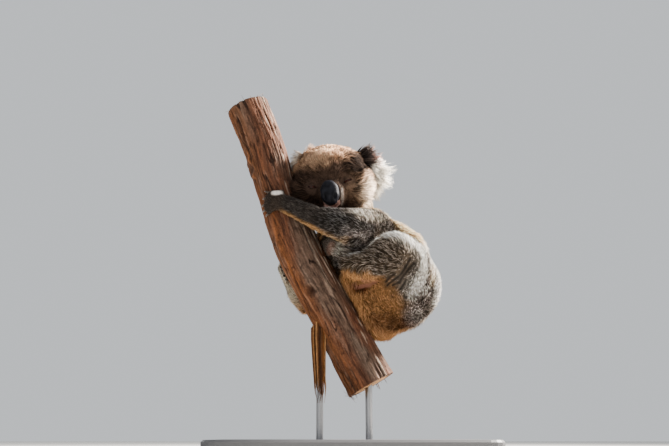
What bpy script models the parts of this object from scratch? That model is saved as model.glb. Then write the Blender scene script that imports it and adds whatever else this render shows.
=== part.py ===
"""A life-size koala asleep on a leaning branch, on a plain display stand.

The koala hugs the branch from its upper side. Its left side faces -Y, it looks
towards -Y over its left arm, and the branch leans towards -X. Metres, +Z up,
with the origin at the centre of the base's underside.
"""
import math

import bmesh
import bpy
from mathutils import Matrix, Vector

# ---- Fits and surface resolution ----
GAP = 0.0004            # left between pieces that touch
VOXEL = 0.0032          # of the remesh that melts the body's forms together
SMOOTH_PASSES = 9
BODY_FACES = 1320
HEAD_SHARE = 0.01       # how far the head is spared when the faces are thinned
HEAD_SPARED = (0.09, 0.14)   # spared up to the first distance, thinned past the second

# ---- Display stand ----
BASE_SIZE = (0.54, 0.42, 0.034)
BASE_CORNER = 0.03
BASE_EDGE = 0.004
ROD_RADIUS = 0.007
ROD_SEAT = 0.03         # depth of a rod in the perch
ROD_SOCKET = 0.02       # depth of a rod in the base
ROD_FEET = {"stand_rod_front": (0.036, 0.0), "stand_rod_rear": (-0.062, 0.0)}

# ---- Perch: points and radii along its axis, from the lower cut ----
PERCH = (
    ((0.041, 0.000, 0.140), 0.0500),
    ((0.003, 0.003, 0.210), 0.0480),
    ((-0.038, 0.003, 0.286), 0.0470),
    ((-0.072, 0.000, 0.348), 0.0475),
    ((-0.106, -0.003, 0.413), 0.0480),
    ((-0.152, -0.003, 0.536), 0.0445),
    ((-0.182, 0.000, 0.636), 0.0440),
    ((-0.222, 0.002, 0.735), 0.0450),
)

# ---- Loose strip of bark that hangs from the perch's lower side ----
STRIP = (
    ((-0.0640, -0.0230, 0.2660), 0.0150),
    ((-0.0645, -0.0275, 0.2300), 0.0145),
    ((-0.0630, -0.0285, 0.1800), 0.0125),
    ((-0.0610, -0.0255, 0.1350), 0.0110),
    ((-0.0590, -0.0240, 0.1040), 0.0070),
)                       # centre and half width
STRIP_THICKNESS = 0.0035

# ---- Trunk of the body: centre and radii of each form, coat included ----
TRUNK = {
    "rump": ((0.086, 0.022, 0.341), (0.098, 0.105, 0.096)),
    "tail_base": ((0.060, 0.022, 0.288), (0.060, 0.070, 0.058)),
    "belly": ((0.045, 0.022, 0.390), (0.090, 0.088, 0.095)),
    "loin": ((0.102, 0.022, 0.396), (0.066, 0.086, 0.075)),
    "back": ((0.068, 0.022, 0.423), (0.073, 0.086, 0.066)),
    "chest": ((0.028, 0.022, 0.450), (0.072, 0.078, 0.066)),
    "breast": ((-0.020, 0.028, 0.440), (0.056, 0.050, 0.060)),
    "shoulders": ((0.018, 0.025, 0.482), (0.056, 0.066, 0.042)),
    "neck": ((-0.008, 0.030, 0.520), (0.060, 0.058, 0.055)),
}
NAPE_RADII = (0.056, 0.058)      # of the piece that joins the neck to the head
NAPE_IN_HEAD = (0.000, 0.020, -0.020)

# ---- Head: its own frame has x to the koala's left, -y forward, z up ----
HEAD_CENTRE = (-0.042, -0.006, 0.574)
HEAD_ROLL = math.radians(9)      # its left side is the higher
HEAD_PITCH = math.radians(15)    # it looks down
HEAD_YAW = math.radians(-2.5)
HEAD = {
    "cranium": ((-0.002, 0.002, 0.006), (0.077, 0.068, 0.065)),
    "brow": ((0.000, -0.028, 0.002), (0.054, 0.042, 0.040)),
    "muzzle": ((0.000, -0.058, -0.039), (0.034, 0.036, 0.032)),
    "jaw": ((0.000, -0.042, -0.058), (0.031, 0.042, 0.019)),
}
CHEEK = ((0.044, -0.014, -0.026), (0.046, 0.048, 0.042))   # the left one
EYE_CENTRE = (0.0365, -0.0525, -0.016)
EYE_RADIUS = 0.0085
NOSE_CENTRE = (-0.002, -0.085, -0.035)
NOSE_RADII = (0.0190, 0.0150, 0.0260)
NOSE_TILT = math.radians(-14)    # its top leans back
EARS = {
    "ear_left": ((0.084, 0.004, 0.010), (0.041, 0.017, 0.052), -8),
    "ear_right": ((-0.063, 0.012, 0.040), (0.018, 0.030, 0.033), 30),
}

# ---- Limbs: joints and radii, from the body outwards, coat included ----
ARMS = {
    "left": {
        "shoulder": ((0.044, -0.040, 0.449), 0.046),
        "elbow": ((0.004, -0.098, 0.441), 0.0390),
        "mid": ((-0.062, -0.092, 0.460), 0.0260),
        "wrist": ((-0.122, -0.070, 0.493), 0.0190),
        "palm": ((-0.150, -0.058, 0.508), 0.0175),
    },
    "right": {
        "shoulder": ((0.044, 0.082, 0.449), 0.046),
        "elbow": ((0.002, 0.132, 0.425), 0.040),
        "mid": ((-0.058, 0.112, 0.432), 0.0275),
        "wrist": ((-0.108, 0.078, 0.446), 0.0205),
        "palm": ((-0.128, 0.062, 0.455), 0.0180),
    },
}
LEGS = {
    "left": {
        "hip": ((0.105, -0.032, 0.335), 0.080),
        "thigh": ((0.097, -0.072, 0.366), 0.066),
        "knee": ((0.084, -0.108, 0.386), 0.045),
        "calf": ((0.041, -0.096, 0.364), 0.0360),
        "ankle": ((0.0025, -0.074, 0.369), 0.0260),
        "heel": ((-0.0085, -0.062, 0.390), 0.0195),
        "ball": ((-0.0290, -0.0515, 0.413), 0.0180),
    },
    "right": {
        "hip": ((0.085, 0.078, 0.338), 0.080),
        "thigh": ((0.052, 0.112, 0.372), 0.062),
        "knee": ((0.010, 0.148, 0.402), 0.045),
        "calf": ((-0.034, 0.120, 0.362), 0.038),
        "ankle": ((-0.072, 0.083, 0.309), 0.032),
        "heel": ((-0.103, 0.062, 0.326), 0.024),
        "ball": ((-0.135, 0.045, 0.388), 0.0195),
    },
}

# ---- Digits: each runs over the bark from one place to another. A place is the
# turn round the perch in degrees (0 is its upper side, -90 faces -Y) and the
# height along it from the paw's own height. ----
DIGIT_RADIUS = 0.0068
DIGIT_TAPER = (1.15, 0.85)       # of that radius, at the root and at the tip
DIGIT_HEIGHT = 0.8               # of its own radius, its centre above the bark
DIGIT_ARCH = 0.004
DIGIT_JOINTS = 5
CLAW_RADIUS = 0.0028
CLAW_TIP_RADIUS = 0.0007
CLAW_TIP_HEIGHT = 0.0018         # of its centre line above the bark
CLAW_ARCH = 0.0030
CLAW_POINTS = 4
PAWS = {
    "hand_left": {
        "height": 0.512,
        "root_lift": 0.0,
        "claw": 0.013,
        "digits": {
            "finger_3": ((-88, 0.003), (-133, 0.004), True),
            "finger_4": ((-90, -0.005), (-135, -0.006), True),
            "finger_5": ((-88, -0.011), (-130, -0.016), True),
            "thumb_1": ((-82, 0.012), (-109, 0.021), True),
            "thumb_2": ((-86, 0.009), (-121, 0.014), True),
        },
    },
    "hand_right": {
        "height": 0.462,
        "root_lift": 0.0,
        "claw": 0.013,
        "digits": {
            "finger_3": ((88, 0.005), (133, 0.006), True),
            "finger_4": ((90, -0.004), (135, -0.005), True),
            "finger_5": ((88, -0.011), (130, -0.016), True),
            "thumb_1": ((80, 0.012), (102, 0.026), True),
            "thumb_2": ((84, 0.009), (115, 0.019), True),
        },
    },
    "foot_left": {
        "height": 0.390,
        "root_lift": 0.031,
        "claw": 0.011,
        "digits": {
            "toe_2": ((-28, 0.008), (-10, 0.017), True),
            "toe_3": ((-31, 0.002), (-16, 0.008), True),
            "toe_4": ((-33, -0.003), (-20, 0.000), True),
            "toe_5": ((-34, -0.008), (-22, -0.009), True),
            "big_toe": ((-27, -0.004), (3, -0.010), False),
        },
    },
    "foot_right": {
        "height": 0.384,
        "root_lift": 0.006,
        "claw": 0.011,
        "digits": {
            "toe_2": ((134, 0.006), (152, 0.019), True),
            "toe_3": ((136, 0.001), (157, 0.012), True),
            "toe_4": ((138, -0.005), (160, 0.003), True),
            "toe_5": ((139, -0.011), (160, -0.006), True),
            "big_toe": ((128, -0.004), (102, 0.004), False),
        },
    },
}

# ---- How the melted body is parted, from its ends inward ----
HEAD_REGION = ((0.000, -0.004, -0.010), (0.100, 0.112, 0.086))
EAR_MARGIN = 0.004
PAW_MARGIN = 0.004
TRUNK_CUT_RADIUS = 0.3
LIMB_REGIONS = {
    "forearm_left": (ARMS["left"], "elbow", "palm", 0.012),
    "upper_arm_left": (ARMS["left"], "shoulder", "elbow", 0.012),
    "forearm_right": (ARMS["right"], "elbow", "palm", 0.012),
    "upper_arm_right": (ARMS["right"], "shoulder", "elbow", 0.012),
    "shin_left": (LEGS["left"], "knee", "heel", 0.014),
    "thigh_left": (LEGS["left"], "hip", "knee", 0.014),
    "shin_right": (LEGS["right"], "knee", "heel", 0.014),
    "thigh_right": (LEGS["right"], "hip", "knee", 0.014),
}
TRUNK_REGIONS = {
    "neck": ((-0.030, 0.030, 0.640), (0.002, 0.028, 0.512)),
    "chest": ((-0.030, 0.030, 0.640), (0.050, 0.024, 0.415)),
}
PART_ORDER = (
    "ear_left",
    "ear_right",
    "hand_left",
    "hand_right",
    "foot_left",
    "foot_right",
    "forearm_left",
    "forearm_right",
    "shin_left",
    "shin_right",
    "upper_arm_left",
    "upper_arm_right",
    "thigh_left",
    "thigh_right",
    "head",
    "neck",
    "chest",
)

# ---- Colours of the plain solids ----
COLOURS = {
    "coat_grey": ((0.200, 0.165, 0.135, 1.0), 0.90, 0.0),
    "coat_pale": ((0.560, 0.480, 0.380, 1.0), 0.90, 0.0),
    "nose_skin": ((0.018, 0.017, 0.020, 1.0), 0.45, 0.0),
    "eye": ((0.030, 0.012, 0.006, 1.0), 0.10, 0.0),
    "claw": ((0.060, 0.048, 0.040, 1.0), 0.35, 0.0),
    "bark": ((0.260, 0.135, 0.080, 1.0), 0.85, 0.0),
    "stand_paint": ((0.060, 0.062, 0.066, 1.0), 0.45, 0.0),
    "stand_steel": ((0.560, 0.560, 0.570, 1.0), 0.30, 1.0),
}


# ---------------------------------------------------------------- scene helpers
def clear_scene():
    for obj in list(bpy.data.objects):
        bpy.data.objects.remove(obj, do_unlink=True)


def collection(name, hidden=False):
    made = bpy.data.collections.new(name)
    made.hide_render = hidden
    bpy.context.scene.collection.children.link(made)
    return made


def material(name):
    made = bpy.data.materials.get(name)
    if made is None:
        colour, roughness, metallic = COLOURS[name]
        made = bpy.data.materials.new(name)
        made.use_nodes = True
        shader = made.node_tree.nodes["Principled BSDF"]
        shader.inputs["Base Color"].default_value = colour
        shader.inputs["Roughness"].default_value = roughness
        shader.inputs["Metallic"].default_value = metallic
        made.diffuse_color = colour
    return made


def object_of(name, mesh, into, finish=None):
    obj = bpy.data.objects.new(name, mesh)
    into.objects.link(obj)
    if finish:
        mesh.materials.clear()
        mesh.materials.append(material(finish))
    return obj


def mesh_of(name, form):
    mesh = bpy.data.meshes.new(name)
    form.normal_update()
    form.to_mesh(mesh)
    form.free()
    return mesh


def evaluated_mesh(obj):
    graph = bpy.context.evaluated_depsgraph_get()
    return bpy.data.meshes.new_from_object(obj.evaluated_get(graph))


def bake(obj):
    """Replace the object's mesh by what its modifiers make of it."""
    mesh = evaluated_mesh(obj)
    obj.modifiers.clear()
    obj.data = mesh


def boolean(obj, cutter, operation):
    cut = obj.modifiers.new(operation.lower(), "BOOLEAN")
    cut.operation = operation
    cut.object = cutter
    cut.solver = "EXACT"
    bake(obj)


def keep_largest(mesh):
    """Drop the crumbs that a cut leaves loose."""
    form = bmesh.new()
    form.from_mesh(mesh)
    form.faces.ensure_lookup_table()
    seen = set()
    groups = []
    for face in form.faces:
        if face in seen:
            continue
        group = {face}
        queue = [face]
        while queue:
            for edge in queue.pop().edges:
                for other in edge.link_faces:
                    if other not in group:
                        group.add(other)
                        queue.append(other)
        seen |= group
        groups.append(group)
    groups.sort(key=lambda group: -sum(face.calc_area() for face in group))
    crumbs = [face for group in groups[1:] for face in group]
    bmesh.ops.delete(form, geom=crumbs, context="FACES")
    form.to_mesh(mesh)
    form.free()


# ---------------------------------------------------------------- basic forms
def frame_along(start, end):
    """A matrix at the middle of a line, with its z axis along it."""
    start, end = Vector(start), Vector(end)
    turn = (end - start).to_track_quat("Z", "Y").to_matrix().to_4x4()
    return Matrix.Translation((start + end) / 2) @ turn


def add_ellipsoid(form, centre, radii, turn=None, segments=24):
    placed = Matrix.Translation(centre) @ (turn or Matrix.Identity(4))
    placed = placed @ Matrix.Diagonal((*radii, 1.0))
    bmesh.ops.create_uvsphere(
        form, u_segments=segments, v_segments=segments // 2, radius=1.0, matrix=placed
    )


def add_frustum(form, start, end, start_radius, end_radius, segments=20):
    length = (Vector(end) - Vector(start)).length
    bmesh.ops.create_cone(
        form, cap_ends=True, cap_tris=False, segments=segments, radius1=start_radius,
        radius2=end_radius, depth=length, matrix=frame_along(start, end),
    )


def add_chain(form, joints):
    """Round-ended tapered pieces from joint to joint, for a limb or a digit."""
    for centre, radius in joints:
        add_ellipsoid(form, centre, (radius, radius, radius), segments=20)
    for (a, radius_a), (b, radius_b) in zip(joints, joints[1:]):
        add_frustum(form, a, b, radius_a, radius_b)


# ---------------------------------------------------------------- perch
def perch_at(height):
    """Axis point, radius and frame (up, side, back) of the perch at a height."""
    for (low, low_radius), (high, high_radius) in zip(PERCH, PERCH[1:]):
        if height <= high[2] or high == PERCH[-1][0]:
            share = (height - low[2]) / (high[2] - low[2])
            point = Vector(low).lerp(Vector(high), share)
            radius = low_radius + (high_radius - low_radius) * share
            up = (Vector(high) - Vector(low)).normalized()
            side = (Vector((1, 0, 0)) - up * up.x).normalized()
            return point, radius, up, side, up.cross(side)


def on_bark(height, turn, above):
    """A point above the bark, at a height along the perch and a turn round it."""
    point, radius, _, side, back = perch_at(height)
    angle = math.radians(turn)
    return point + (side * math.cos(angle) + back * math.sin(angle)) * (radius + above)


def perch_mesh(grow=0.0, extend=0.0):
    """The branch as a bevelled curve, made a closed mesh. It can be grown as a cutter."""
    curve = bpy.data.curves.new("perch_curve", "CURVE")
    curve.dimensions = "3D"
    curve.bevel_depth = 1.0
    curve.bevel_resolution = 4
    curve.use_fill_caps = True
    points = [Vector(point) for point, _ in PERCH]
    points[0] -= (points[1] - points[0]).normalized() * extend
    points[-1] += (points[-1] - points[-2]).normalized() * extend
    spline = curve.splines.new("BEZIER")
    spline.bezier_points.add(len(points) - 1)
    spline.resolution_u = 2
    for knot, point, (_, radius) in zip(spline.bezier_points, points, PERCH):
        knot.co = point
        knot.radius = radius + grow
        knot.handle_left_type = knot.handle_right_type = "AUTO"
    holder = bpy.data.objects.new("perch_curve", curve)
    bpy.context.scene.collection.objects.link(holder)
    bpy.context.view_layer.update()
    mesh = evaluated_mesh(holder)
    bpy.data.objects.remove(holder)
    form = bmesh.new()
    form.from_mesh(mesh)
    bmesh.ops.remove_doubles(form, verts=form.verts, dist=0.00005)
    bmesh.ops.triangulate(form, faces=form.faces)
    bmesh.ops.recalc_face_normals(form, faces=form.faces)
    form.to_mesh(mesh)
    form.free()
    return mesh


def strip_mesh():
    """The loose strip: a flat, tapering ribbon that faces the animal's left side."""
    form = bmesh.new()
    rows = []
    half = STRIP_THICKNESS / 2
    for (x, y, z), reach in STRIP:
        corners = ((-reach, -half), (reach, -half), (reach, half), (-reach, half))
        rows.append([form.verts.new((x + across, y + deep, z)) for across, deep in corners])
    for upper, lower in zip(rows, rows[1:]):
        for index in range(4):
            after = (index + 1) % 4
            form.faces.new((upper[index], lower[index], lower[after], upper[after]))
    form.faces.new(rows[0])
    form.faces.new(list(reversed(rows[-1])))
    bmesh.ops.recalc_face_normals(form, faces=form.faces)
    return mesh_of("perch_strip", form)


# ---------------------------------------------------------------- the animal
def head_frame():
    turn = Matrix.Rotation(HEAD_YAW, 4, "Z") @ Matrix.Rotation(HEAD_PITCH, 4, "X")
    turn = turn @ Matrix.Rotation(-HEAD_ROLL, 4, "Y")
    return Matrix.Translation(HEAD_CENTRE) @ turn


def turn_only(matrix):
    return matrix.to_3x3().to_4x4()


def in_head(point):
    return head_frame() @ Vector(point)


def mirrored(point):
    return (-point[0], point[1], point[2])


def ear_turn(degrees):
    return turn_only(head_frame()) @ Matrix.Rotation(math.radians(degrees), 4, "Y")


def digit_joints(paw, name):
    """Centres and radii along a digit, from the palm or sole to its tip."""
    start, end, _ = PAWS[paw]["digits"][name]
    height = PAWS[paw]["height"]
    joints = []
    for step in range(DIGIT_JOINTS):
        share = step / (DIGIT_JOINTS - 1)
        turn = start[0] + (end[0] - start[0]) * share
        along = height + start[1] + (end[1] - start[1]) * share
        radius = DIGIT_RADIUS * (DIGIT_TAPER[0] + (DIGIT_TAPER[1] - DIGIT_TAPER[0]) * share)
        above = radius * DIGIT_HEIGHT + DIGIT_ARCH * math.sin(math.pi * share)
        above += PAWS[paw]["root_lift"] * (1 - share)
        joints.append((on_bark(along, turn, above), radius))
    return joints


def claw_mesh(paw, name, grow=0.0):
    """A hooked claw that goes on from the tip of its digit and comes down to the bark."""
    start, end, _ = PAWS[paw]["digits"][name]
    height = PAWS[paw]["height"]
    arc = math.radians(end[0] - start[0]) * perch_at(height)[1]
    stretch = PAWS[paw]["claw"] / math.hypot(arc, end[1] - start[1])
    tip_height = digit_joints(paw, name)[-1][1] * DIGIT_HEIGHT
    curve = bpy.data.curves.new("claw_curve", "CURVE")
    curve.dimensions = "3D"
    curve.bevel_depth = 1.0
    curve.bevel_resolution = 1
    curve.use_fill_caps = True
    spline = curve.splines.new("POLY")
    spline.points.add(CLAW_POINTS - 1)
    for index, knot in enumerate(spline.points):
        share = index / (CLAW_POINTS - 1)
        turn = end[0] + (end[0] - start[0]) * stretch * share
        along = end[1] + (end[1] - start[1]) * stretch * share
        above = tip_height * (1 - share) + CLAW_TIP_HEIGHT * share
        above += CLAW_ARCH * math.sin(math.pi * share)
        knot.co = (*on_bark(height + along, turn, above), 1.0)
        knot.radius = CLAW_RADIUS * (1 - share) + CLAW_TIP_RADIUS * share + grow
    holder = bpy.data.objects.new("claw_curve", curve)
    bpy.context.scene.collection.objects.link(holder)
    bpy.context.view_layer.update()
    mesh = evaluated_mesh(holder)
    bpy.data.objects.remove(holder)
    form = bmesh.new()
    form.from_mesh(mesh)
    bmesh.ops.remove_doubles(form, verts=form.verts, dist=0.00002)
    bmesh.ops.recalc_face_normals(form, faces=form.faces)
    form.to_mesh(mesh)
    form.free()
    return mesh


def whole_body(cutters):
    """Every form of the body melted into one closed mesh, finest at the head."""
    form = bmesh.new()
    for centre, radii in TRUNK.values():
        add_ellipsoid(form, centre, radii)
    head = turn_only(head_frame())
    for centre, radii in HEAD.values():
        add_ellipsoid(form, in_head(centre), radii, head)
    for centre in (CHEEK[0], mirrored(CHEEK[0])):
        add_ellipsoid(form, in_head(centre), CHEEK[1], head)
    for centre, radii, degrees in EARS.values():
        add_ellipsoid(form, in_head(centre), radii, ear_turn(degrees))
    nape = (TRUNK["neck"][0], in_head(NAPE_IN_HEAD))
    add_chain(form, list(zip(nape, NAPE_RADII)))
    for limb in (*ARMS.values(), *LEGS.values()):
        add_chain(form, list(limb.values()))
    for paw, parts in PAWS.items():
        for digit in parts["digits"]:
            add_chain(form, digit_joints(paw, digit))
    body = object_of("whole_body", mesh_of("whole_body", form), cutters)
    melt = body.modifiers.new("melt", "REMESH")
    melt.mode = "VOXEL"
    melt.voxel_size = VOXEL
    soften = body.modifiers.new("soften", "SMOOTH")
    soften.factor = 0.5
    soften.iterations = SMOOTH_PASSES
    bake(body)
    spared = body.vertex_groups.new(name="coarse")
    centre = Vector(HEAD_CENTRE)
    inner, outer = HEAD_SPARED
    for vertex in body.data.vertices:
        share = (outer - (vertex.co - centre).length) / (outer - inner)
        near = min(1.0, max(0.0, share))
        spared.add([vertex.index], 1.0 - HEAD_SHARE * near, "REPLACE")
    thin = body.modifiers.new("thin", "DECIMATE")
    body.data.calc_loop_triangles()
    thin.ratio = BODY_FACES / len(body.data.loop_triangles)
    thin.vertex_group = "coarse"
    thin.vertex_group_factor = 1.0
    thin.use_collapse_triangulate = True
    bake(body)
    keep_largest(body.data)
    return body


# ---------------------------------------------------------------- parting the body
def paw_centre(paw):
    """The middle of a paw's digits and the reach of its farthest joint from there."""
    joints = [place for digit in PAWS[paw]["digits"] for place, _ in digit_joints(paw, digit)]
    centre = sum(joints, Vector()) / len(joints)
    return centre, max((place - centre).length for place in joints)


def region(name, grow):
    """A plain closed form that holds one part of the body, to part it from the rest."""
    form = bmesh.new()
    if name in EARS:
        centre, radii, degrees = EARS[name]
        radii = [radius + EAR_MARGIN + grow for radius in radii]
        add_ellipsoid(form, in_head(centre), radii, ear_turn(degrees), segments=10)
    elif name == "head":
        radii = [radius + grow for radius in HEAD_REGION[1]]
        turn = turn_only(head_frame())
        add_ellipsoid(form, in_head(HEAD_REGION[0]), radii, turn, segments=12)
    elif name in PAWS:
        centre, reach = paw_centre(name)
        reach += DIGIT_RADIUS + PAW_MARGIN + grow
        add_ellipsoid(form, centre, (reach, reach, reach), segments=10)
    elif name in LIMB_REGIONS:
        limb, first, last, margin = LIMB_REGIONS[name]
        a, radius_a = limb[first]
        b, radius_b = limb[last]
        add_ellipsoid(form, a, [radius_a + margin + grow] * 3, segments=10)
        add_ellipsoid(form, b, [radius_b + margin + grow] * 3, segments=10)
        bmesh.ops.delete(form, geom=form.edges[:], context="EDGES_FACES")
        bmesh.ops.convex_hull(form, input=form.verts)
        inner = [vertex for vertex in form.verts if not vertex.link_faces]
        bmesh.ops.delete(form, geom=inner, context="VERTS")
    else:
        start, end = TRUNK_REGIONS[name]
        reach = (Vector(end) - Vector(start)).normalized() * grow
        start, end = Vector(start) - reach, Vector(end) + reach
        add_frustum(form, start, end, TRUNK_CUT_RADIUS, TRUNK_CUT_RADIUS, segments=12)
    bmesh.ops.recalc_face_normals(form, faces=form.faces)
    return mesh_of(name + "_region", form)


def take_part(name, rest, into, cutters, finish):
    """Move the part of the body that lies in its region out of the rest."""
    part = object_of(name, rest.data.copy(), into)
    keep = object_of(name + "_region", region(name, 0.0), cutters)
    boolean(part, keep, "INTERSECT")
    keep_largest(part.data)
    drop = object_of(name + "_clear", region(name, GAP), cutters)
    boolean(rest, drop, "DIFFERENCE")
    keep_largest(rest.data)
    part.data.materials.clear()
    part.data.materials.append(material(finish))
    return part


# ---------------------------------------------------------------- the stand
def slab(form, size, corner, edge):
    """A flat base with rounded corners and a small chamfer round its top."""
    width, depth, height = size
    outline = []
    for quarter in range(4):
        for step in range(5):
            angle = math.radians(90 * quarter + 22.5 * step)
            x = (width / 2 - corner) * (1 if quarter in (0, 3) else -1)
            y = (depth / 2 - corner) * (1 if quarter in (0, 1) else -1)
            outline.append((x, y, math.cos(angle), math.sin(angle)))
    rings = []
    for level, inset in ((0.0, 0.0), (height - edge, 0.0), (height, edge)):
        ring = []
        for x, y, out_x, out_y in outline:
            reach = corner - inset
            ring.append(form.verts.new((x + out_x * reach, y + out_y * reach, level)))
        rings.append(ring)
    for lower, upper in zip(rings, rings[1:]):
        for index in range(len(lower)):
            after = (index + 1) % len(lower)
            form.faces.new((lower[index], lower[after], upper[after], upper[index]))
    form.faces.new(list(reversed(rings[0])))
    form.faces.new(rings[-1])


def rod_top(foot):
    """Where a rod ends inside the perch: its seat above the underside of the bark."""
    x, y = foot
    height = PERCH[0][0][2]
    while height < PERCH[-1][0][2]:
        point, radius, up, _, _ = perch_at(height)
        offset = Vector((x, y, height)) - point
        across = offset - up * offset.dot(up)
        if across.length < radius and offset.dot(up) >= 0.0:
            return height + ROD_SEAT
        height += 0.001
    return height


def build_rod(name, foot, grow, into, finish=None):
    form = bmesh.new()
    start = (*foot, BASE_SIZE[2] - ROD_SOCKET - grow)
    end = (*foot, rod_top(foot) + grow)
    add_frustum(form, start, end, ROD_RADIUS + grow, ROD_RADIUS + grow, segments=20)
    bmesh.ops.recalc_face_normals(form, faces=form.faces)
    return object_of(name, mesh_of(name, form), into, finish)


# ---------------------------------------------------------------- everything
def build():
    clear_scene()
    made = collection("koala_on_branch")
    cutters = collection("cutters", hidden=True)

    perch = object_of("perch", perch_mesh(), made, "bark")
    perch_clear = object_of("perch_clear", perch_mesh(GAP, 0.2), cutters)

    strip = object_of("perch_strip", strip_mesh(), made, "bark")
    boolean(strip, perch_clear, "DIFFERENCE")
    keep_largest(strip.data)

    rest = whole_body(cutters)
    boolean(rest, perch_clear, "DIFFERENCE")
    keep_largest(rest.data)

    flesh = {}
    for name in PART_ORDER:
        pale = name in EARS or name == "chest"
        finish = "coat_pale" if pale else "coat_grey"
        flesh[name] = take_part(name, rest, made, cutters, finish)
    rest.name = "rump"
    cutters.objects.unlink(rest)
    made.objects.link(rest)
    rest.data.materials.clear()
    rest.data.materials.append(material("coat_grey"))

    turn = turn_only(head_frame()) @ Matrix.Rotation(NOSE_TILT, 4, "X")
    for grow, name, into in ((0.0, "nose", made), (GAP, "nose_clear", cutters)):
        form = bmesh.new()
        radii = [radius + grow for radius in NOSE_RADII]
        add_ellipsoid(form, in_head(NOSE_CENTRE), radii, turn, segments=14)
        nose = object_of(name, mesh_of(name, form), into, "nose_skin")
    boolean(flesh["head"], nose, "DIFFERENCE")
    for side, centre in (("left", EYE_CENTRE), ("right", mirrored(EYE_CENTRE))):
        for grow, name, into in ((0.0, "eye_" + side, made), (GAP, "eye_clear", cutters)):
            form = bmesh.new()
            radius = EYE_RADIUS + grow
            add_ellipsoid(form, in_head(centre), (radius, radius, radius), segments=10)
            eye = object_of(name, mesh_of(name, form), into, "eye")
        boolean(flesh["head"], eye, "DIFFERENCE")
    keep_largest(flesh["head"].data)

    for paw, parts in PAWS.items():
        for digit, (_, _, clawed) in parts["digits"].items():
            if not clawed:
                continue
            name = "claw_" + paw + "_" + digit
            claw = object_of(name, claw_mesh(paw, digit), made, "claw")
            clear = object_of(name + "_clear", claw_mesh(paw, digit, GAP), cutters)
            boolean(flesh[paw], clear, "DIFFERENCE")
            boolean(claw, perch_clear, "DIFFERENCE")
            keep_largest(claw.data)
            claw.data.materials.clear()
            claw.data.materials.append(material("claw"))
        keep_largest(flesh[paw].data)

    form = bmesh.new()
    slab(form, BASE_SIZE, BASE_CORNER, BASE_EDGE)
    base = object_of("stand_base", mesh_of("stand_base", form), made, "stand_paint")
    for name, foot in ROD_FEET.items():
        build_rod(name, foot, 0.0, made, "stand_steel")
        clear = build_rod(name + "_clear", foot, GAP, cutters)
        boolean(perch, clear, "DIFFERENCE")
        boolean(base, clear, "DIFFERENCE")

    for obj in list(cutters.objects):
        obj.display_type = "WIRE"
        obj.hide_render = True
    total = 0
    for obj in sorted(made.objects, key=lambda item: item.name):
        obj.data.name = obj.name
        obj.data.calc_loop_triangles()
        total += len(obj.data.loop_triangles)
        print(obj.name, len(obj.data.loop_triangles))
    print("triangles in all:", total)


build()
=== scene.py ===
import math
import bmesh
import bpy
import numpy as np
from mathutils import Matrix, Vector
from mathutils.kdtree import KDTree


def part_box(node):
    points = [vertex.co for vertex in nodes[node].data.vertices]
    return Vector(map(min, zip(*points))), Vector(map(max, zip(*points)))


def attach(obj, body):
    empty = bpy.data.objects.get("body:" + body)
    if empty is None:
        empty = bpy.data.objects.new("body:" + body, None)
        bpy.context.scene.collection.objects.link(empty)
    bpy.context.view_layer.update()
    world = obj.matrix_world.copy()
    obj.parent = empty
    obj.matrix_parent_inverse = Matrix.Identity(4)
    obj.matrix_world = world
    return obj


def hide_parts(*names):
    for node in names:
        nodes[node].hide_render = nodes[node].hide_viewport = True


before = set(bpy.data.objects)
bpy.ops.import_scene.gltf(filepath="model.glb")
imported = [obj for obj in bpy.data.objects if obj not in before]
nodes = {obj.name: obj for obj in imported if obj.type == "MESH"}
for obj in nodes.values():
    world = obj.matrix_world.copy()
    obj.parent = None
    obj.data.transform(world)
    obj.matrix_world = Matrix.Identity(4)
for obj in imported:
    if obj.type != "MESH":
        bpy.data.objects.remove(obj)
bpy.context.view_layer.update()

scene = bpy.context.scene
chance = np.random.default_rng(11)

# the camera looks up at the sleeper, at its own left side
cameraView = {"place": (-0.0325, -1.7465, 0.0395), "lookUp": 14.0, "lens": 46.12, "sensor": 36.0}


def addCamera(view):
    data = bpy.data.cameras.new("camera")
    data.lens = view["lens"]
    data.sensor_width = view["sensor"]
    data.sensor_fit = "HORIZONTAL"
    data.clip_start = 0.05
    camera = bpy.data.objects.new("camera", data)
    camera.location = view["place"]
    camera.rotation_euler = (math.radians(90 + view["lookUp"]), 0, 0)
    scene.collection.objects.link(camera)
    scene.camera = camera


addCamera(cameraView)


# arrays in and out of meshes
def span(rows):
    return np.linalg.norm(rows, axis=-1)


def unit(rows):
    return rows / np.maximum(np.linalg.norm(rows, axis=-1, keepdims=True), 1e-12)


def readMesh(mesh):
    points = np.empty(len(mesh.vertices) * 3, np.float32)
    mesh.vertices.foreach_get("co", points)
    mesh.calc_loop_triangles()
    corners = np.empty(len(mesh.loop_triangles) * 3, np.int32)
    mesh.loop_triangles.foreach_get("vertices", corners)
    return points.reshape(-1, 3).astype(float), corners.reshape(-1, 3)


def makeMesh(name, points, faces):
    mesh = bpy.data.meshes.new(name)
    mesh.vertices.add(len(points))
    mesh.vertices.foreach_set("co", points.astype(np.float32).ravel())
    mesh.loops.add(faces.size)
    mesh.loops.foreach_set("vertex_index", faces.astype(np.int32).ravel())
    mesh.polygons.add(len(faces))
    mesh.polygons.foreach_set("loop_start", np.arange(0, faces.size, faces.shape[1], dtype=np.int32))
    mesh.update(calc_edges=True)
    mesh.shade_smooth()
    return mesh


def place(name, mesh, finish=None):
    piece = bpy.data.objects.new(name, mesh)
    scene.collection.objects.link(piece)
    if finish:
        mesh.materials.clear()
        mesh.materials.append(finish)
    return piece


def setColours(mesh, name, colours):
    layer = mesh.color_attributes.new(name, "FLOAT_COLOR", "POINT")
    alpha = np.ones((len(colours), 1))
    layer.data.foreach_set("color", np.hstack([colours, alpha]).astype(np.float32).ravel())


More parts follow.
